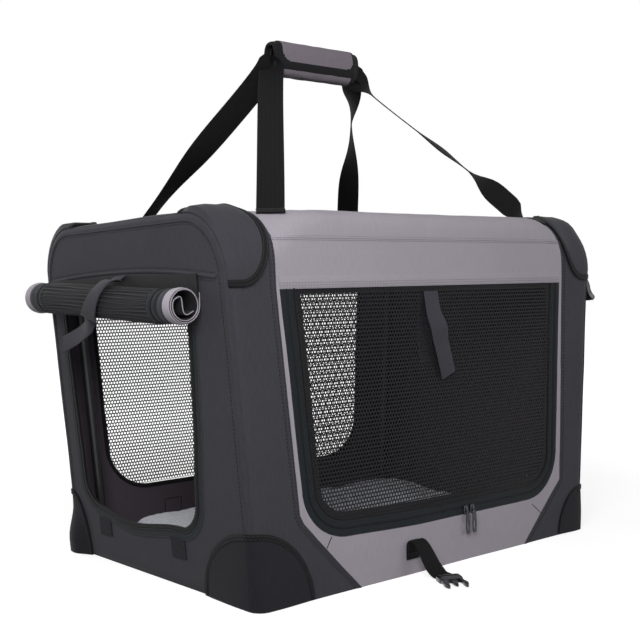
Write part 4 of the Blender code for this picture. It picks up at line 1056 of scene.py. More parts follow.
class MakeMeshDoors(bpy.types.Operator):
    """Make the knitted mesh of the front door and of the rear window, with their zip borders"""

    bl_idname = "carrier.mesh_doors"
    bl_label = "Mesh door and window"

    def execute(self, context):
        front, rear = long_face(-1), long_face(1)
        net = Work()
        # The net runs on up behind the header, so its loop is drawn out at the top.
        long_net(net, front, [(x, z + 0.0220 * (z > 0.37)) for x, z in door_path(FRONT_CUT, 0.0235)], -0.0002)
        net.finish("front_door_net", (MESH,), "front_door", ("front_door",), "knitted_mesh_black", sharp=70)
        edge = Work()
        sides = on_long(door_path(FRONT_CUT, 0.0006, closed=False))
        # From the edge inwards on three sides: outer zip tape, coil, inner tape, a ridge of binding, a hem.
        for near, far, low, thick, columns, kind, crown in (
            (0.0, -0.0095, -0.0020, 0.0014, 4, TAPE, 0.0005),
            (-0.0095, -0.0123, -0.0022, 0.0018, 3, COIL, 0.0012),
            (-0.0123, -0.0220, -0.0020, 0.0014, 4, TAPE, 0.0003),
            (-0.0220, -0.0245, -0.0020, 0.0026, 3, BINDING, 0.0008),
            (-0.0245, -0.0335, -0.0020, 0.0012, 4, BINDING, 0.0002),
        ):
            edge.tape(front, sides, near, far, low, thick, False, kind, columns, crown)
        for distance, lift in ((-0.0040, -0.0002), (-0.0075, -0.0002), (-0.0172, -0.0005)):
            edge.laid_cord(front, shifted(sides, distance), 0.0006, lift, kind=TAPE)
        for distance in (-0.0148, -0.0200):
            edge.stitches(front, shifted(sides, distance), -0.0002, kind=THREAD)
        hem = on_long([(x, 0.4055) for x in np.linspace(-0.2815, 0.2815, 70)])
        edge.tape(front, hem, 0.0, -0.0050, -0.0020, 0.0012, kind=BINDING)
        cloths = (PIPING, TAPE, COIL, BINDING, THREAD)
        edge.finish("front_door_border", cloths, "front_door", slot="webbing_black")
        net = Work()
        long_net(net, rear, door_path(REAR_CUT, 0.0045), -0.0016)
        net.finish("rear_window_net", (MESH,), "shell", ("rear_window",), "knitted_mesh_black", sharp=70)
        edge = Work()
        loop = on_long(door_path(REAR_CUT, 0.0006))
        edge.tape(rear, loop, 0.0022, -0.0050, -0.0032, 0.0030, closed=True, columns=4, crown=0.0005)
        edge.tape(rear, loop, 0.0006, 0.0080, 0.0002, 0.0007, closed=True, crown=0.0003)
        edge.stitches(rear, shifted(loop, 0.0060, True), 0.0010, closed=True, kind=THREAD)
        edge.finish("rear_window_border", (BINDING, THREAD), "shell", slot="webbing_black")
        return {"FINISHED"}


class MakeEndDoor(bpy.types.Operator):
    """Make the closed cloth door of the right end, and the flaps over the two doors' top seams"""

    bl_idname = "carrier.end_door"
    bl_label = "End door and flaps"

    def execute(self, context):
        face = end_face(1)
        work = Work()
        work.cloth(face, door_path(END_CUT, GAP))
        door = "right_end_door"
        work.finish("right_end_door_cloth", (CHARCOAL, LINING), door, (door,), "woven_charcoal")
        edge = Work()
        loop = door_path(END_CUT, 0.0006)
        edge.tape(face, loop, 0.0, -0.0050, 0.0002, 0.0007, closed=True, kind=TAPE, crown=0.0002)
        edge.tape(face, loop, -0.0010, -0.0034, 0.0006, 0.0010, closed=True, kind=COIL, crown=0.0008)
        edge.stitches(face, shifted(loop, -0.0090, True), closed=True, kind=THREAD)
        edge.finish("right_end_door_border", (TAPE, COIL, THREAD), door, slot="webbing_black")
        front = long_face(-1)
        flap = Work()
        low = even(on_long([(-FRONT_CUT[0], FRONT_FLAP_Z), (FRONT_CUT[0], FRONT_FLAP_Z)]), 0.010)
        flap.tape(front, low, 0.0, 0.0145, 0.0001, 0.0005, columns=5, crown=0.0004)
        flap.stitches(front, shifted(low, 0.0030), 0.0009, kind=GREY_THREAD)
        flap.stitches(front, shifted(low, 0.0062), 0.0010, kind=GREY_THREAD)
        flap.finish("front_header_flap", (GREY, GREY_THREAD), "shell", ("front_header",), "woven_grey")
        flap = Work()
        low = even([(-END_CUT[0], END_FLAP_Z), (END_CUT[0], END_FLAP_Z)], 0.010)
        flap.tape(face, low, 0.0, 0.012, GAP, 0.0010, columns=5, crown=0.0004)
        flap.stitches(face, shifted(low, 0.0025), 0.0016, kind=THREAD)
        flap.stitches(face, shifted(low, 0.0095), 0.0016, kind=THREAD)
        flap.finish("right_header_flap", (CHARCOAL, THREAD), "shell", ("right_header",), "woven_charcoal")
        return {"FINISHED"}


# Corner patches


def corner_point(sx, sy, distance, z, offset):
    """A point low on the box at a distance from the corner's middle, positive along the long side."""
    turn = math.pi / 4 + max(min(distance, SEAM_TURN), -SEAM_TURN) / EDGE_R
    straight = max(abs(distance) - SEAM_TURN, 0)
    reach = EDGE_R + offset
    x = half_length(z) - EDGE_R + reach * math.cos(turn) - (straight if distance > 0 else 0)
    y = WIDTH / 2 - EDGE_R + reach * math.sin(turn) - (straight if distance < 0 else 0)
    return Vector((sx * x, sy * y, z))


def upper_point(sx, sy, beyond, along, offset):
    """A point on a top corner patch, by the share beyond the end's seam and the distance over the rim."""
    end = half_length(HEIGHT - END_TOP_R) - EDGE_R
    if beyond < 0:
        angle = -beyond
        sunk = -EDGE_R + (EDGE_R + offset) * math.cos(angle)
        width, height = side_along(GROWS_TO, along, sunk)
        x = half_length(height) - EDGE_R + (EDGE_R + offset) * math.sin(angle)
    else:
        place = end - beyond * TOP_GUARD_REACH
        width, height = side_along(place, along, offset)
        x = place * half_length(height) / half_length(HEIGHT)
    return Vector((sx * x, sy * width, height))


def band(work, rings, place, lift):
    """A raised binding between two flat paths, laid by a function of two places and a height."""
    rows = [[Vector(near).lerp(Vector(far), j / 4) for j in range(5)] for near, far in zip(*rings)]
    crown = [0.0011 - 0.0009 * abs(j - 2) ** 2 / 4 for j in range(5)]
    outer = [[place(a, b, lift + rise) for (a, b), rise in zip(row, crown)] for row in rows]
    inner = [[place(a, b, lift - 0.0022) for a, b in row] for row in rows]
    work.slab(outer, inner, [[(j * 0.002, i * 0.005) for j in range(5)] for i in range(len(rows))], BINDING)


def between(rings, share):
    """The flat path that lies a share of the way from one ring to the other."""
    return [Vector(a).lerp(Vector(b), share) for a, b in zip(*rings)]


# How far each low patch reaches along the end and along the side, and climbs, against the drawn half round.
LOW_REACH = {"left_rear": (0.5, 1.0), "left_front": (1.1, 0.82), "right_front": (1.0, 0.55)}
LOW_CLIMB = {"right_front": 0.72}
HALF_ROUND = [math.pi * i / 60 for i in range(61)]


def make_low_patch(place, sx, sy):
    """The patch over a low corner: a half round of heavy cloth folded round the upright edge."""
    bulge = 0.0025 if sy < 0 else 0.0120
    reach = LOW_REACH.get(place, (1.0, 1.0))
    climb = BOTTOM_GUARD_RISE * LOW_CLIMB.get(place, 1.0)

    def laid(s, z, offset):
        """A place on the patch: its padding swells near the ground."""
        swell = bulge * smooth_step((1 - abs(s) / BOTTOM_GUARD_REACH) * 1.5) * smooth_step((0.080 - z) / 0.06)
        return corner_point(sx, sy, s * reach[s > 0], z, offset + swell)

    def flat(level, share):
        """Distance from the corner and height, at a level from 0 to 10 and a share of the reach."""
        rise = 0.005 + climb * math.sqrt(max(1 - share**2, 0))
        return share * BOTTOM_GUARD_REACH, 0.001 + (rise - 0.001) * level / 10

    def upper(level, share):
        """The outer side, which thins towards its edge."""
        pillow = smooth_step(min(1 - abs(share), 1 - level / 10) * 6)
        return laid(*flat(level, share), GAP + 0.0012 + 0.0012 * pillow)

    def under(level, share):
        """The side on the cloth."""
        s, z = flat(level, share)
        return corner_point(sx, sy, s * reach[s > 0], z, GAP)

    bend = SEAM_TURN / BOTTOM_GUARD_REACH
    half = [-1, -0.97, -0.92, -0.85, -0.76, -0.65, -0.53, -0.4, -0.26, -bend, -bend / 2]
    work = Work()
    work.sheet(range(11), half + [0.0] + [-share for share in reversed(half)], upper, under, flat)
    rings = []
    for w in (-0.0008, 0.0078):
        wide, tall = BOTTOM_GUARD_REACH - w, climb - w
        rings.append([(-wide * math.cos(t), 0.004 + tall * math.sin(t)) for t in HALF_ROUND])
    band(work, rings, laid, 0.0026)
    for share in (0.28, 0.80):
        work.stitches(laid, between(rings, share), 0.0036, kind=THREAD)
    node = f"{place}_bottom_guard"
    work.finish(f"{place}_bottom_patch", (HEAVY_SHADED, BINDING, THREAD), "shell", (node,), "woven_charcoal")


def make_high_patch(place, sx, sy):
    """The padded patch over a high corner: a half round folded over the rim and the end's edge."""

    def laid(beyond, along, offset):
        """A place on the patch. Its padding swells on the top, and all over at the far corner."""
        rim = min(1 - abs(along) / TOP_GUARD_HALF, 1 - max(beyond, 0)) * 2.2
        height = upper_point(sx, sy, beyond, along, offset).z - HEIGHT
        swell = smooth_step(rim) * (1.0 if place == "left_rear" else smooth_step((height + 0.030) / 0.028))
        swell = 0.0065 * swell * smooth_step((beyond + 0.785) / 0.5)
        return upper_point(sx, sy, beyond, along, offset + swell)

    def half_at(stop):
        """Half the patch's width over the rim."""
        return TOP_GUARD_HALF * (1 if stop <= 0 else math.sqrt(1 - stop**2))

    def upper(stop, share):
        """The outer side, which thins towards its edge."""
        pillow = smooth_step(min(1 - abs(share), 1 - max(stop, 0)) * 6)
        return laid(stop, half_at(stop) * share, 0.0022 + 0.0014 * pillow)

    def under(stop, share):
        """The side on the cloth."""
        return upper_point(sx, sy, stop, half_at(stop) * share, 0.0010)

    def flat(stop, share):
        """The same place on the flat cloth, for its weave."""
        return stop * TOP_GUARD_REACH, half_at(stop) * share

    stops = [-math.pi / 4, -math.pi / 8, 0.0]
    stops += [math.sin(math.radians(t)) for t in (8, 17, 26, 36, 46, 57, 68, 80)]
    work = Work()
    work.sheet(stops, [math.sin(math.pi / 2 * i / 10) for i in range(-10, 11)], upper, under, flat)
    rings = []
    for w in (-0.0008, 0.0080):
        half, far = TOP_GUARD_HALF - w, 1 - w / TOP_GUARD_REACH
        ring = [(-math.pi / 4 * (1 - i / 3), half) for i in range(3)]
        ring += [(math.sin(t) * far, half * math.cos(t)) for t in HALF_ROUND]
        rings.append(ring + [(-math.pi / 4 * i / 3, -half) for i in range(1, 4)])
    band(work, rings, laid, 0.0034)
    for share in (0.22, 0.80):
        work.cord([laid(*spot, 0.0043) for spot in between(rings, share)], 0.00045, kind=THREAD, sides=5)
    node = f"{place}_top_guard"
    work.finish(f"{place}_top_patch", (CHARCOAL, BINDING, THREAD), "shell", (node,), "woven_charcoal")


class MakeGuards(bpy.types.Operator):
    """Make the padded patches over the eight corners, each with a bound edge"""

    bl_idname = "carrier.guards"
    bl_label = "Corner patches"

    def execute(self, context):
        for end, sx in ENDS.items():
            for side, sy in SIDES.items():
                make_low_patch(f"{end}_{side}", sx, sy)
                make_high_patch(f"{end}_{side}", sx, sy)
        return {"FINISHED"}


# Entry door


# The roll: its radius, the spacing of its turns, its cloth and its number of turns. Then the height of its
# middle and of its seam, its middle across, and half its width.
ROLL_R, ROLL_PITCH, ROLL_THICK, ROLL_TURNS = 0.0245, 0.0030, 0.0020, 1.575
ROLL_Z, ROLL_SEAM_Z, ROLL_Y, ROLL_HALF = 0.393, 0.430, 0.020, 0.205
ROLL_X = -(half_length(ROLL_Z) + GAP + ROLL_R + 0.0012)
ROLL_SEAM_X = -(half_length(ROLL_SEAM_Z) + GAP)
# The part of its length on which its tapes and the net are drawn.
ROLL_FROM, ROLL_TO = 0.022, 0.178


def roll_line():
    """The wound cloth's section as (x, height): down from its seam, round, and in an S across the hollow."""
    centre = Vector((ROLL_X, ROLL_Z))
    line = [Vector((ROLL_SEAM_X - 0.0010, ROLL_SEAM_Z)), centre + Vector((ROLL_R - 0.0012, ROLL_R / 2))]
    steps = 40
    for i in range(int(ROLL_TURNS * steps) + 1):
        reach = ROLL_R - 0.0012 - ROLL_PITCH * i / steps
        turn = -2 * math.pi * i / steps
        ahead = Vector((math.cos(turn), math.sin(turn)))
        line.append(centre + ahead * reach)
    aside = Vector((ahead.y, -ahead.x))
    for i in range(1, 25):
        share = i / 24
        bend = 0.0085 * math.sin(2 * math.pi * share)
        line.append(centre + ahead * (reach * (1 - 1.72 * share)) + aside * bend)
    return even(line, 0.004)


def wound_cloth():
    """The rolled cloth's outer face by place across and distance along it, with its whole length."""
    line = roll_line()
    ends = run_lengths(line)
    sides = shifted(line, 1.0)

    def wound(y, s, offset=0.0):
        """A place on the wound cloth. The roll hangs lower at its near end."""
        k = min(max(np.searchsorted(ends, s) - 1, 0), len(line) - 2)
        share = (s - ends[k]) / (ends[k + 1] - ends[k])
        spot = line[k].lerp(line[k + 1], share)
        away = ((sides[k] - line[k]).lerp(sides[k + 1] - line[k + 1], share)).normalized()
        sag = 0.0007 * noise.noise(Vector((y * 14, s * 18, 3.3)))
        spot = spot + away * (offset + sag)
        drop = (-0.0035 + 0.0155 * smooth_step((y + ROLL_HALF) / (2 * ROLL_HALF))) * smooth_step(s / 0.035)
        return Vector((spot.x - 0.08 * drop, ROLL_Y + y, spot.y + drop))

    return wound, ends[-1]


def make_roll_strap():
    """The tape round the roll: sewn under the seam, wound over the roll, its tail folded over and hanging."""
    clear = ROLL_R + GAP + WEBBING / 2 + 0.0024
    points, widths = [Vector((ROLL_SEAM_X - 0.0045, ROLL_Y - 0.014, ROLL_SEAM_Z + 0.001))], [(0, 1, 0)]
    for i in range(33):
        turn = math.radians(75 + 5.5 * i)
        y = ROLL_Y - 0.016 - 0.022 * math.sin(math.pi * i / 32) + 0.044 * (i / 32) ** 1.6
        rise = 0.0045 + 0.0012 * i / 32
        points.append(Vector((ROLL_X + clear * math.cos(turn), y, ROLL_Z + rise + clear * math.sin(turn))))
        widths.append((0, 1, 0.15 * i / 32))
    last = points[-1]
    for i in range(1, 9):
        share = i / 8
        out = 0.006 * math.sin(math.pi * share)
        points.append(last + Vector((out, 0.084 * share**1.15, -0.004 - 0.033 * share)))
        turned = smooth_step(share * 2.2)
        widths.append((0.25 * turned, 1 - 0.72 * turned, 0.15 + 0.75 * turned))
    strap = Work()
    strap.strap(points, widths, ROLL_TIE_WIDTH)
    strap.finish("roll_strap_web", (TIE,), "entry_roll", ("roll_strap",), "webbing_black")


class MakeEntryRoll(bpy.types.Operator):
    """Make the entry's mesh door, rolled up under its seam, and the tape that holds it"""

    bl_idname = "carrier.entry_roll"
    bl_label = "Rolled entry door"

    def execute(self, context):
        wound, length = wound_cloth()
        rows = np.linspace(0, length, 130)
        columns = np.linspace(-ROLL_HALF + 0.002, ROLL_HALF - 0.002, 40)
        core = Work()
        outer, inner = (grid(rows, columns, lambda s, y: wound(y, s, lift)) for lift in (0.0, -ROLL_THICK))
        core.slab(outer, inner, grid(rows, columns, lambda s, y: (y, s)))
        core.finish("entry_roll_cloth", (MESH,), "entry_roll", ("entry_door_roll",), "knitted_mesh_black")
        net = Work()
        net_half = ROLL_HALF - 0.059
        net.net(lambda y, s, offset: wound(y, s, 0.0006 + offset), oblong(-net_half, 0.004, net_half, 0.20))
        # Fine lengthwise folds of the wound mesh, drawn as cords of the lighter charcoal tape: a painted
        # highlight along their ridges.
        for i in range(18):
            s = 0.036 + 0.0053 * i
            fold = [wound(y, s + 0.0012 * math.sin(y * 30 + i), 0.0012) for y in columns[5:-5]]
            net.cord(fold, 0.0005, kind=TIE, sides=6)
        net.finish("entry_roll_net", (MESH, TIE), "entry_roll", slot="knitted_mesh_black", sharp=70)
        edge = Work()
        runs = np.linspace(ROLL_FROM, ROLL_TO, 90)
        # From the end inwards: a pale piping tape, a grey tape, a gap, and the two sides of the zip tape.
        bands = (
            (0.0016, 0.0165, 0.0018, PIPING),
            (0.0165, 0.0300, 0.0010, TIE),
            (0.0330, 0.0440, 0.0012, TAPE),
            (0.0462, 0.0570, 0.0012, TAPE),
        )
        for sign in (-1, 1):
            for start, stop, height, kind in bands:
                ys = [sign * (ROLL_HALF - start - (stop - start) * j / 4) for j in range(5)]
                upper = grid(runs, range(5), lambda s, j: wound(ys[j], s, height - 0.0004 * abs(j - 2)))
                under = grid(runs, ys, lambda s, y: wound(y, s))
                edge.slab(upper, under, grid(runs, ys, lambda s, y: (y, s)), kind)
            edge.cord([wound(sign * ROLL_HALF, s, -ROLL_THICK / 2) for s in rows[12:]], 0.0008, kind=GREY)
            edge.cord([wound(sign * (ROLL_HALF - 0.0451), s, 0.0008) for s in rows[12:95]], 0.0007, kind=COIL)
        edge.finish("entry_roll_tapes", (PIPING, TAPE, COIL, TIE, GREY), "entry_roll", slot="webbing_black")
        make_roll_strap()
        return {"FINISHED"}


# Ties, straps and handle


class MakeTies(bpy.types.Operator):
    """Make the two ties of the front door and the hook patches under the entry"""

    bl_idname = "carrier.ties"
    bl_label = "Ties and patches"

    def execute(self, context):
        shares = [i / 24 for i in range(25)]
        front = -WIDTH / 2 - GAP - WEBBING / 2
        tie = Work()
        points, widths = [], []
        for s in shares:
            lean = 0.030 * max((s - 0.25) / 0.75, 0) ** 1.3
            fold = math.exp(-(((s - 0.42) / 0.13) ** 2))
            out = 0.008 * math.sin(math.pi * s * 0.85) + 0.004 * fold * (s > 0.2)
            points.append((TIE_X + lean, front - 0.0004 - out, TIE_TOP - TIE_DROP * s))
            widths.append((1, -0.22 * fold, 0.10 * fold))
        tie.strap(points, widths, TIE_WIDTH)
        tie.finish("front_tie_web", (TIE,), "front_tie", ("front_tie",), "webbing_black")
        back = -WIDTH / 2 + FABRIC + GAP + WEBBING / 2
        tie = Work()
        bows = [0.008 * math.sin(math.pi * s * 0.85) for s in shares]
        points = [(TIE_X, back + bow, INNER_TIE_TOP - TIE_DROP * s) for s, bow in zip(shares, bows)]
        tie.strap(points, [(1, 0, 0)] * 25, TIE_WIDTH)
        tie.finish("inner_tie_web", (TIE,), "shell", ("inner_tie",), "webbing_black")
        face = end_face(-1)
        for name, y in HOOK_MIDDLES.items():
            half, top = HOOK_WIDE / 2 - HOOK_INSET, HOOK_LOW + HOOK_TALL - HOOK_INSET
            patch = Work()
            line = even([(y - HOOK_WIDE / 2, HOOK_LOW), (y + HOOK_WIDE / 2, HOOK_LOW)], 0.003)
            patch.tape(face, line, 0.0, HOOK_TALL, GAP, 0.0012, columns=9)
            sewn = even(oblong(y - half, HOOK_LOW + HOOK_INSET, y + half, top), 0.004, True)
            patch.stitches(face, sewn, 0.0017, closed=True, kind=THREAD)
            # The hooks show as rows of short stitches.
            for i in range(5):
                z = HOOK_LOW + 0.005 + 0.0045 * i
                row = [(y - 0.013, z), (y + 0.013, z)]
                patch.stitches(face, row, 0.0017, kind=THREAD, length=0.0016, pitch=0.0030, width=0.0012)
            patch.finish(f"{name}_web", (HEAVY_SHADED, THREAD), "shell", (name,), "webbing_black")
        return {"FINISHED"}


def turned_width(twist, t):
    """The direction of a strap's width at a share of its leg."""
    for (t0, w0), (t1, w1) in zip(twist, twist[1:]):
        if t <= t1:
            return Vector(w0).lerp(Vector(w1), smooth_step((t - t0) / (t1 - t0))).normalized()
    return Vector(twist[-1][1])


# How each leg's webbing is twisted between its sewn foot and the wrap.
STRAP_TWISTS = {
    (-1, -1): ((0.0, (0.77, -0.64, 0)), (0.84, (0.77, -0.64, 0)), (1.0, (0, 0, 1))),
    (-1, 1): ((0.0, (-0.84, -0.54, 0)), (0.08, (-0.84, -0.54, 0)), (0.5, (-0.6, 0, 0.8)),
              (0.88, (-0.6, 0, 0.8)), (1.0, (0, 0, 1))),
    (1, -1): ((0.0, (0.70, 0.60, 0.15)), (0.06, (0.58, -0.20, 0.60)), (0.12, (0.60, -0.25, 0.60)),
              (0.26, (0.71, 0.69, 0.14)), (0.37, (0.70, 0.60, 0.30)), (0.50, (0.71, 0.69, 0.14)),
              (0.74, (0.71, 0.69, 0.14)), (0.90, (0.35, 0.0, 0.93)), (1.0, (0, 0, 1))),
    (1, 1): ((0.0, (0.78, -0.62, 0)), (0.08, (0.78, -0.62, 0)), (0.60, (0.66, 0.74, 0.13)),
             (0.86, (-0.17, 0.98, 0)), (1.0, (0, 0, 1))),
}
STRAP_FEET = {(-1, -1): 0.252, (-1, 1): 0.225, (1, -1): 0.264, (1, 1): 0.216}


def carry_route(sy, steps=48):
    """Route and width directions of one carrying strap: sewn foot, leg, wrap, leg, sewn foot."""
    foot_z = HEIGHT + GAP + WEBBING / 2 + 0.0006
    lane = sy * (WEBBING / 2 + 0.0004)
    points, widths = [], []
    for sx in (-1, 1):
        end = Vector((HANDLE_X + sx * 0.081, lane, HANDLE_Z - 0.006))
        foot = Vector((sx * STRAP_FEET[(sx, sy)], sy * 0.190, foot_z))
        inward = ((end - foot) * Vector((1, 1, 0))).normalized()
        twist = STRAP_TWISTS[(sx, sy)]
        rise = foot.lerp(end, 0.4) + Vector((0, 0, 0.012))
        turn = end + Vector((sx * 0.012, sy * 0.006, -0.036))
        leg = []
        for back in (0.034, 0.025, 0.016, 0.008):
            spot = foot - inward * back
            laid = top_face(along_u(spot.x, HEIGHT), spot.y, foot_z - HEIGHT)
            leg.append((Vector((spot.x, laid.y, laid.z)), Vector(twist[0][1])))
        for i in range(steps + 1):
            t = i / steps
            u = 1 - t
            point = foot * u**3 + rise * (3 * u * u * t) + turn * (3 * u * t * t) + end * t**3
            leg.append((point, turned_width(twist, t)))
        leg = leg if sx < 0 else leg[::-1]
        points += [p for p, _ in leg]
        widths += [w for _, w in leg]
    return points, widths


# The padded wrap: half its length, its outer and inner reach across and up, and how square its section is.
WRAP_HALF, WRAP_OUTER, WRAP_INNER, WRAP_SQUARE = 0.083, (0.0165, 0.0255), (0.0105, 0.0190), 2.6
# Its binding: where it begins at the two ends, and how much sooner on the underside.
BOUND_ENDS, BOUND_SOONER = (-0.071, 0.072), 0.004
# The band of binding along each low side: its two edges, measured up round the wrap from its lowest line, and
# the radius of the grey cloth's corners above it.
BAND_LOW, BAND_HIGH, BAND_CORNER = 0.0215, 0.0325, 0.014


def make_wrap(name, start, end, body):
    """Half of the padded wrap, between two angles in degrees round the straps, with its black binding."""
    turns = [math.radians(start + (end - start) * i / 64) for i in range(65)]
    shares = [math.sin(math.pi / 2 * i / 26) for i in range(-26, 27)]

    def section(turn):
        """How far the wrap's rounded square reaches across and up at an angle."""
        lean, rise = math.sin(turn), math.cos(turn)
        return lean, rise, (abs(lean) ** WRAP_SQUARE + abs(rise) ** WRAP_SQUARE) ** (-1 / WRAP_SQUARE)

    def upper(share, turn):
        """The outer side: drawn in at its ends, fuller below, and a little rucked."""
        lean, rise, square = section(turn)
        bulge = 1 - 0.16 * smooth_step((abs(share) - 0.88) / 0.12)
        ruck = 1 + 0.035 * noise.noise(Vector((share * 4, lean * 2, rise * 3)))
        low = 1.12 if rise < 0 else 1.0
        y = WRAP_OUTER[0] * bulge * square * lean * ruck
        z = WRAP_OUTER[1] * low * bulge * square * rise * ruck
        return Vector((HANDLE_X + share * WRAP_HALF, y, HANDLE_Z + z))

    def under(share, turn):
        """The inner side, close to the straps."""
        lean, rise, square = section(turn)
        y, z = WRAP_INNER[0] * square * lean, WRAP_INNER[1] * square * rise
        return Vector((HANDLE_X + share * WRAP_HALF, y, HANDLE_Z + z))

    work = Work()
    outer, inner = grid(shares, turns, upper), grid(shares, turns, under)
    work.slab(outer, inner, grid(shares, turns, lambda s, turn: (s * WRAP_HALF, 0.024 * abs(math.pi - turn))))
    # The grey cloth above the band ends in round corners, with its two ends bound. Below the band only the
    # ends are bound.
    for k, face in enumerate(work.faces):
        x, along = (sum(work.marks[i][n] for i in face) / len(face) for n in (0, 1))
        side, low = min(x - BOUND_ENDS[0], BOUND_ENDS[1] - x), along - BAND_HIGH
        reach = min(side, low)
        if side < BAND_CORNER and low < BAND_CORNER:
            reach = BAND_CORNER - math.hypot(BAND_CORNER - side, BAND_CORNER - low)
        bound = reach < 0 if along > BAND_LOW else side < BOUND_SOONER
        work.kinds[k] = BINDING if bound else SHADED_WRAP
    rim = [a.lerp(b, 0.45) for a, b in zip(rim_of(outer), rim_of(inner))]
    work.cord(rim, 0.0026, closed=True, kind=BINDING, sides=10)
    work.finish(f"{name}_cloth", (SHADED_WRAP, BINDING), body, (name,), "woven_grey")


class MakeHandle(bpy.types.Operator):
    """Make the carrying straps and the padded wrap round them"""

    bl_idname = "carrier.handle"
    bl_label = "Handle"

    def execute(self, context):
        for side, sy in SIDES.items():
            points, widths = carry_route(sy)
            strap = Work()
            strap.strap(points, widths, CARRY_WIDTH)
            node = f"{side}_carry_strap"
            thing = strap.finish(f"{side}_carry_web", (WEB,), "shell", (node,), "webbing_black")
            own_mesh(thing)
        make_wrap("handle_wrap", 1, 178, "handle")
        make_wrap("handle_flap", 182, 359, "handle_flap")
        return {"FINISHED"}


# Hardware


def mirrored(half):
    """A closed outline from its right half."""
    return half + [(-x, y) for x, y in reversed(half)]


BUCKLE_SLOT = oblong(-0.0131, 0.0035, 0.0131, 0.0085)


def make_low_clip(side, sy):
    """A low strap with its plug. The webbing arches out from its sewn root to the plug on the ground."""
    face = WIDTH / 2 + GAP + WEBBING / 2
    lift, x = PLUG_THICK / 2 + GAP, CLIP_X[side]
    # The front plug lies askew.
    skew = math.radians(28) if side == "front" else 0.0
    aim = Vector((-math.sin(skew), sy * math.cos(skew), 0))
    root = Vector((x, sy * (face + 0.076), lift)) - aim * 0.026
    route = ((0.0, 0.022), (0.0, 0.040), (0.0015, 0.0465), (0.0070, 0.0500), (0.0150, 0.0455),
             (0.0235, 0.0300), (0.0320, 0.0130), (0.0410, lift + 0.001))
    line = [Vector((x + (root.x - x) * smooth_step(out / 0.05), sy * (face + out), z)) for out, z in route]
    line = bevel_curve(line + [root - aim * 0.004, root - aim * GAP], closed=False)
    shares = [smooth_step((abs(p.y) - face) / 0.05) for p in line]
    strap = Work()
    strap.strap(line, [(math.cos(skew * s), sy * math.sin(skew * s), 0) for s in shares], CLIP_WIDTH)
    sewn = even(on_long(oblong(x - 0.010, 0.030, x + 0.010, 0.049)), 0.004, True)
    strap.stitches(long_face(sy), sewn, 0.0022, closed=True, kind=THREAD)
    strap.finish(f"{side}_strap_web", (WEB, THREAD), f"{side}_clip", (f"{side}_strap",), "webbing_black")
    matrix = Matrix.Translation(root) @ Matrix.Rotation(0 if sy > 0 else math.pi - skew, 4, "Z")
    w, n = BUCKLE_HALF, PLUG_LONG
    buckle = Work()
    body = mirrored([(w * 0.92, 0.0), (w, 0.004), (w, 0.018), (w * 0.94, 0.022), (w * 0.5, 0.024)])
    buckle.plate(bevel_curve(body), [BUCKLE_SLOT], PLUG_THICK, matrix)
    prong = (
        (0.62, 0.020), (0.96, 0.020), (0.90, 0.030), (0.88, n - 0.020), (1.0, n - 0.015), (0.97, n - 0.006),
        (0.84, n - 0.001), (0.66, n), (0.60, n - 0.010), (0.66, n - 0.020), (0.60, 0.030),
    )
    for sign in (-1, 1):
        buckle.plate(bevel_curve([(sign * w * u, v) for u, v in prong]), [], 0.0052, matrix)
    tongue = mirrored([(w * 0.24, 0.020), (w * 0.18, n - 0.010), (w * 0.07, n - 0.004)])
    buckle.plate(bevel_curve(tongue), [], 0.0036, matrix)
    node = f"{side}_buckle"
    buckle.finish(f"{side}_buckle_plug", (PLASTIC,), f"{side}_clip", (node,), "moulded_plastic_black")


def make_side_clip(side, sy):
    """A side strap on the right end with its socket: two shells, a root between them, a rail at each edge."""
    tilt = math.radians(33)
    down, across = Vector((math.sin(tilt), 0, -math.cos(tilt))), Vector((0, 1, 0))
    heights = (SIDE_CLIP_TOP, SIDE_CLIP_BEND)
    start, bend = (Vector((half_length(z) + GAP + WEBBING / 2, sy * SIDE_CLIP_Y, z)) for z in heights)
    bar = bend + down * 0.020
    points = [start, start.lerp(bend, 0.6), bend + down * 0.001, bend + down * 0.004, bar - down * 0.0043]
    strap = Work()
    strap.strap(points, [across] * len(points), CLIP_WIDTH)
    strap.finish(f"{side}_side_web", (WEB,), f"{side}_side_clip", (f"{side}_side_strap",), "webbing_black")
    turn = Matrix((across, down, across.cross(down))).transposed().to_4x4()
    matrix = Matrix.Translation(bar - down * 0.004) @ turn
    w, n = BUCKLE_HALF, SOCKET_LONG
    # Both the shells and the rails are waisted between these shares of the length.
    waist, hips, low = n * 0.56, n * 0.76, n * 0.88
    half = [(w * 0.9, 0.0), (w, 0.004), (w, n * 0.42), (w * 0.86, waist), (w * 0.86, hips), (w, low), (w, n)]
    buckle = Work()
    for level in (-1, 1):
        shell = matrix @ Matrix.Translation((0, 0, level * (SOCKET_THICK - SOCKET_SKIN) / 2))
        buckle.plate(bevel_curve(mirrored(half)), [BUCKLE_SLOT], SOCKET_SKIN, shell, soft=0.0005)
    inside_thick = SOCKET_THICK - 0.002
    buckle.plate(oblong(-w * 0.98, 0.010, w * 0.98, 0.018), [], inside_thick, matrix)
    rail = ((0.86, 0.0), (0.97, 0.004), (0.97, n * 0.42), (0.83, waist), (0.83, hips), (0.97, low), (0.97, n),
            (0.80, n), (0.72, n * 0.7), (0.80, 0.010))
    for sign in (-1, 1):
        buckle.plate([(sign * w * u, v) for u, v in rail], [], inside_thick, matrix)
    node = f"{side}_side_buckle"
    buckle.finish(f"{side}_side_socket", (PLASTIC,), f"{side}_side_clip", (node,), "moulded_plastic_black")


class MakeBuckles(bpy.types.Operator):
    """Make the four small straps and their side-release buckle halves"""

    bl_idname = "carrier.buckles"
    bl_label = "Buckles"

    def execute(self, context):
        for side, sy in SIDES.items():
            make_low_clip(side, sy)
        for side, sy in SIDES.items():
            make_side_clip(side, sy)
        return {"FINISHED"}


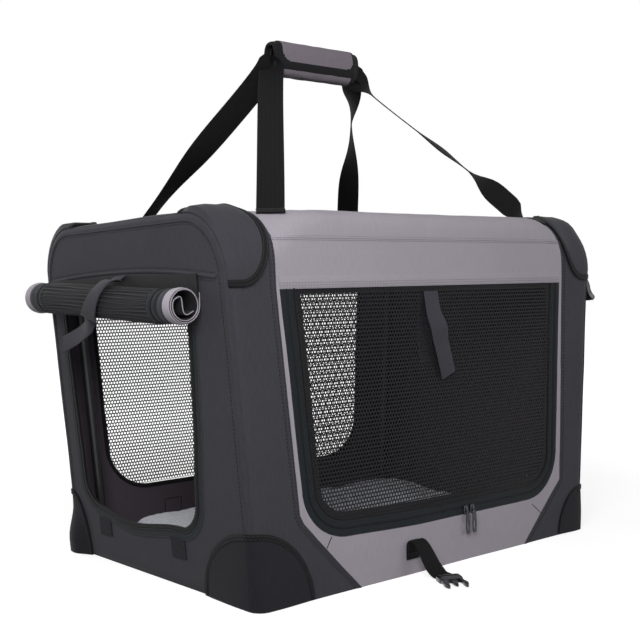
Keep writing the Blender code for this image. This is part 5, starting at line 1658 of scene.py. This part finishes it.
class MakeZip(bpy.types.Operator):
    """Make the two zip sliders and their pulls"""

    bl_idname = "carrier.zip"
    bl_label = "Zip sliders"

    def execute(self, context):
        face = -WIDTH / 2 - GAP
        upright = Matrix.Rotation(math.pi / 2, 4, "X")
        body = [(-0.0052, -0.0065), (0.0052, -0.0065), (0.0045, 0.003), (0.0030, 0.0065), (-0.0030, 0.0065),
                (-0.0045, 0.003)]
        drop = [(-0.0030, 0), (0.0030, 0), (0.0042, -0.010), (0.0042, -0.0316), (0.0025, -0.034),
                (-0.0025, -0.034), (-0.0042, -0.0316), (-0.0042, -0.010)]
        bridge = oblong(-0.0016, -0.0045, 0.0016, 0.0045)
        openings = [oblong(-0.0019, -0.0289, 0.0019, -0.0153), oblong(-0.0014, -0.0052, 0.0014, -0.0018)]
        for end, sx in ENDS.items():
            x = ZIP_X + sx * ZIP_APART
            slider = Work()
            for outline, thick, out in ((body, 0.0024, 0.0014), (bridge, 0.0020, 0.0031)):
                place = Matrix.Translation((x, face - out, ZIP_Z)) @ upright
                slider.plate(bevel_curve(outline), [], thick, place)
            slider.finish(f"{end}_slider_cast", (ZINC,), f"{end}_slider", (f"{end}_zip_slider",), "zinc_grey")
            pull = Work()
            hung = Matrix.Translation((x, face - 0.0055, ZIP_Z - 0.0013)) @ upright
            pull.plate(bevel_curve(drop), [bevel_curve(opening) for opening in openings], 0.0020, hung)
            pull.finish(f"{end}_pull_cast", (ZINC,), f"{end}_pull", (f"{end}_zip_pull",), "zinc_grey")
        return {"FINISHED"}


# Frame and floor


class MakeFloor(bpy.types.Operator):
    """Make the cloth underside and the fleece mat, and finish the frame and the board"""

    bl_idname = "carrier.floor"
    bl_label = "Frame and floor"

    def execute(self, context):
        posts = [f"{end}_{side}_post" for end in ENDS for side in SIDES]
        for name in ["base_frame", "top_frame", *posts, "floor_board"]:
            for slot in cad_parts[name].material_slots:
                slot.material = bpy.data.materials[BOARD if name == "floor_board" else STEEL]
        half_x, half_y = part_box("base_panel")[1][:2]
        spots, triangles = cut_cloth(even(rounded(half_x, half_y, 0.011, 6), 0.014, True), pitch=0.02)
        top, bottom = ([Vector((x, y, z)) for x, y in spots] for z in (0.0030, 0.0004))
        under = Work()
        under.doubled(spots, triangles, top, bottom)
        under.finish("underside_cloth", (CHARCOAL,), "shell", ("base_panel",), "woven_charcoal")
        make_mat()
        return {"FINISHED"}


def make_mat():
    """The fleece mat: filled by a cloth simulation, then given its curled pile."""
    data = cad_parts["fleece_mat"].data.copy()
    data.name = "fleece_mat_pad"
    data.materials.clear()
    mat = bpy.data.objects.new("fleece_mat_pad", data)
    bpy.context.scene.collection.objects.link(mat)
    low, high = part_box("fleece_mat")
    middle = (Vector(low) + Vector(high)) / 2
    for vertex in data.vertices:
        vertex.co = middle + (vertex.co - middle) * Vector((0.985, 0.98, 0.86))
    remesh = mat.modifiers.new("voxels", "REMESH")
    remesh.mode, remesh.voxel_size = "VOXEL", 0.006
    bake(mat)
    rest = [v.co.copy() for v in mat.data.vertices]
    cloth = mat.modifiers.new("filling", "CLOTH")
    settings = cloth.settings
    settings.use_pressure, settings.uniform_pressure_force = True, 2.0
    settings.effector_weights.gravity = 0.0
    settings.quality = 4
    cloth.collision_settings.use_collision = False
    scene = bpy.context.scene
    cloth.point_cache.frame_start, cloth.point_cache.frame_end = 1, 20
    for number in range(1, 21):
        scene.frame_set(number)
    bake(mat)
    scene.frame_set(1)
    for vertex, start in zip(mat.data.vertices, rest):
        move = vertex.co - start
        if move.length > 0.003:
            vertex.co = start + move.normalized() * 0.003
    bumps = mat.modifiers.new("finer", "SUBSURF")
    bumps.levels = bumps.render_levels = 1
    bake(mat)
    data = mat.data
    for vertex, normal in [(v, v.normal.copy()) for v in data.vertices]:
        spot = vertex.co
        curl = noise.noise(spot * 120.0) * 0.0010 + noise.noise(spot * 26.0 + Vector((7, 7, 7))) * 0.0022
        # Wide humps, higher towards the entry.
        high_end = 0.6 * smooth_step((-0.02 - spot.x) / 0.2)
        swell = noise.noise(Vector((spot.x * 9 + 4, spot.y * 7, 0.3))) + 0.35 + high_end
        hump = 0.011 * smooth_step(swell) * max(normal.z, 0)
        vertex.co = spot + normal * (curl - 0.0004) + Vector((0, 0, hump))
        for axis, more in ((0, 0), (1, 0), (2, 0.010)):
            vertex.co[axis] = min(max(vertex.co[axis], low[axis]), high[axis] + more)
    data.shade_smooth()
    data.materials.append(bpy.data.materials[FLEECE])
    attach(mat, "mat")
    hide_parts("fleece_mat")


def bake(thing):
    """Applies a piece's modifiers to its mesh."""
    evaluated = thing.evaluated_get(bpy.context.evaluated_depsgraph_get())
    data = bpy.data.meshes.new_from_object(evaluated)
    thing.modifiers.clear()
    thing.data = data


# Stage


def seen_by(tree, *rays):
    """A share that is 1 for the kinds of rays named."""
    path = add_node(tree, "LightPath")
    seen = path.outputs[rays[0]]
    for ray in rays[1:]:
        seen = add_node(tree, "Math", {"operation": "MAXIMUM"}, {0: seen, 1: path.outputs[ray]}).outputs[0]
    return seen


def finish_floor(look):
    """Matt white paper that glows more with distance for the camera and is darker for the carrier on it."""
    tree, shader = new_finish("paper_floor_matt", {"Roughness": 0.9, "Specular IOR Level": 0.1})
    spot = add_node(tree, "NewGeometry").outputs["Position"]
    away = add_node(tree, "VectorMath", {"operation": "LENGTH"}, {0: spot}).outputs["Value"]
    strength = add_node(tree, "MapRange", {1: 0.7, 2: 1.9, 3: 1.5, 4: 2.1}, {0: away}).outputs[0]
    glow = add_node(tree, "Emission", {"Color": (1, 1, 1, 1)}, {"Strength": strength}).outputs[0]
    seen = seen_by(tree, "Is Camera Ray", "Is Glossy Ray")
    settings = {"data_type": "RGBA", 6: look.bounce, 7: look.floor}
    tone = add_node(tree, "Mix", settings, {0: seen}).outputs[2]
    tree.links.new(tone, shader.inputs["Base Color"])
    part = add_node(tree, "Math", {"operation": "MULTIPLY", 1: 0.5}, {0: seen}).outputs[0]
    mixed = add_node(tree, "MixShader", {}, {0: part, 1: shader.outputs[0], 2: glow}).outputs[0]
    tree.links.new(mixed, tree.nodes["Material Output"].inputs["Surface"])
    return bpy.data.materials["paper_floor_matt"]


def light_world(scene):
    """A dim even light, which shows as plain white where nothing stands before it."""
    scene.world = bpy.data.worlds.new("studio")
    scene.world.use_nodes = True
    tree = scene.world.node_tree
    plain = tree.nodes["Background"]
    plain.inputs["Color"].default_value = (1, 1, 1, 1)
    plain.inputs["Strength"].default_value = 0.20
    white = add_node(tree, "Background", {"Color": (1, 1, 1, 1), "Strength": 1.0}).outputs[0]
    seen = seen_by(tree, "Is Camera Ray", "Is Glossy Ray", "Is Transmission Ray")
    mixed = add_node(tree, "MixShader", {}, {0: seen, 1: plain.outputs[0], 2: white}).outputs[0]
    tree.links.new(mixed, tree.nodes["World Output"].inputs["Surface"])


class MakeStage(bpy.types.Operator):
    """Make the pale floor, the lamps and the camera"""

    bl_idname = "carrier.stage"
    bl_label = "Stage"

    def execute(self, context):
        scene, look = context.scene, context.scene.carrier_stage
        scene.view_settings.view_transform = "Standard"
        data = bpy.data.meshes.new("floor")
        reach = 12.0
        data.from_pydata([(x, y, 0) for x, y in oblong(-reach, -reach, reach, reach)], [], [(0, 1, 2, 3)])
        floor = bpy.data.objects.new("floor", data)
        scene.collection.objects.link(floor)
        data.materials.append(finish_floor(look))
        light_world(scene)
        lamps = (
            ("key", (-1.15, -1.20, 1.05), look.key_power, 0.9),
            ("fill", (1.4, -2.3, 0.9), look.fill_power, 1.6),
            ("back", (-0.6, 2.0, 0.9), look.fill_power, 1.4),
        )
        for name, spot, power, size in lamps:
            lamp = bpy.data.lights.new(name, "AREA")
            lamp.energy, lamp.size = power, size
            thing = bpy.data.objects.new(name, lamp)
            thing.location = spot
            thing.rotation_euler = (Vector((0, 0, 0.25)) - Vector(spot)).to_track_quat("-Z", "Y").to_euler()
            scene.collection.objects.link(thing)
        place_camera(scene)
        return {"FINISHED"}


def place_camera(scene):
    """The camera at the photograph's viewpoint, set from values that were fitted to the corners of the box.
    """
    yaw, pitch, roll = (math.radians(a) for a in (CAMERA_YAW, CAMERA_PITCH, CAMERA_ROLL))
    ahead = Vector((math.sin(yaw) * math.cos(pitch), math.cos(yaw) * math.cos(pitch), math.sin(pitch)))
    right = Vector((math.cos(yaw), -math.sin(yaw), 0))
    up = right.cross(ahead)
    right, up = right * math.cos(roll) + up * math.sin(roll), up * math.cos(roll) - right * math.sin(roll)
    data = bpy.data.cameras.new("camera")
    data.sensor_width = 36.0
    data.lens = FOCAL_PIXELS / PHOTO_PIXELS * 36.0
    half = PHOTO_PIXELS / 2
    data.shift_x = (half - MIDDLE_ACROSS_PIXELS) / PHOTO_PIXELS
    data.shift_y = (MIDDLE_DOWN_PIXELS - half) / PHOTO_PIXELS
    data.clip_end = 60.0
    camera = bpy.data.objects.new("camera", data)
    turned = Matrix((right, up, -ahead)).transposed().to_4x4()
    camera.matrix_world = Matrix.Translation(CAMERA_PLACE) @ turned
    scene.collection.objects.link(camera)
    scene.camera = camera


# Add-on


OPERATORS = (
    MakeLongWalls,
    MakeEndWalls,
    MakeTop,
    MakeMeshDoors,
    MakeEndDoor,
    MakeGuards,
    MakeEntryRoll,
    MakeTies,
    MakeHandle,
    MakeBuckles,
    MakeZip,
    MakeFloor,
    MakeStage,
)


class CarrierPanel(bpy.types.Panel):
    """Lists the carrier's colours, the floor's colours, the lamps' powers and the makers"""

    bl_idname = "VIEW3D_PT_pet_carrier"
    bl_label = "Pet carrier"
    bl_space_type = "VIEW_3D"
    bl_region_type = "UI"
    bl_category = "Pet carrier"

    def draw(self, context):
        for group in (context.scene.carrier_look, context.scene.carrier_stage):
            for name in group.__annotations__:
                self.layout.prop(group, name)
        for maker in OPERATORS:
            self.layout.operator(maker.bl_idname)


CLASSES = (CarrierLook, StageLook, *OPERATORS, CarrierPanel)


def register():
    """Adds the classes and the scene's settings."""
    for each in CLASSES:
        bpy.utils.register_class(each)
    bpy.types.Scene.carrier_look = PointerProperty(type=CarrierLook)
    bpy.types.Scene.carrier_stage = PointerProperty(type=StageLook)


def unregister():
    """Takes them away again."""
    del bpy.types.Scene.carrier_stage
    del bpy.types.Scene.carrier_look
    for each in reversed(CLASSES):
        bpy.utils.unregister_class(each)


def main():
    register()
    make_finishes(bpy.context.scene.carrier_look)
    for maker in OPERATORS:
        family, name = maker.bl_idname.split(".")
        getattr(getattr(bpy.ops, family), name)()


if __name__ == "__main__":
    main()
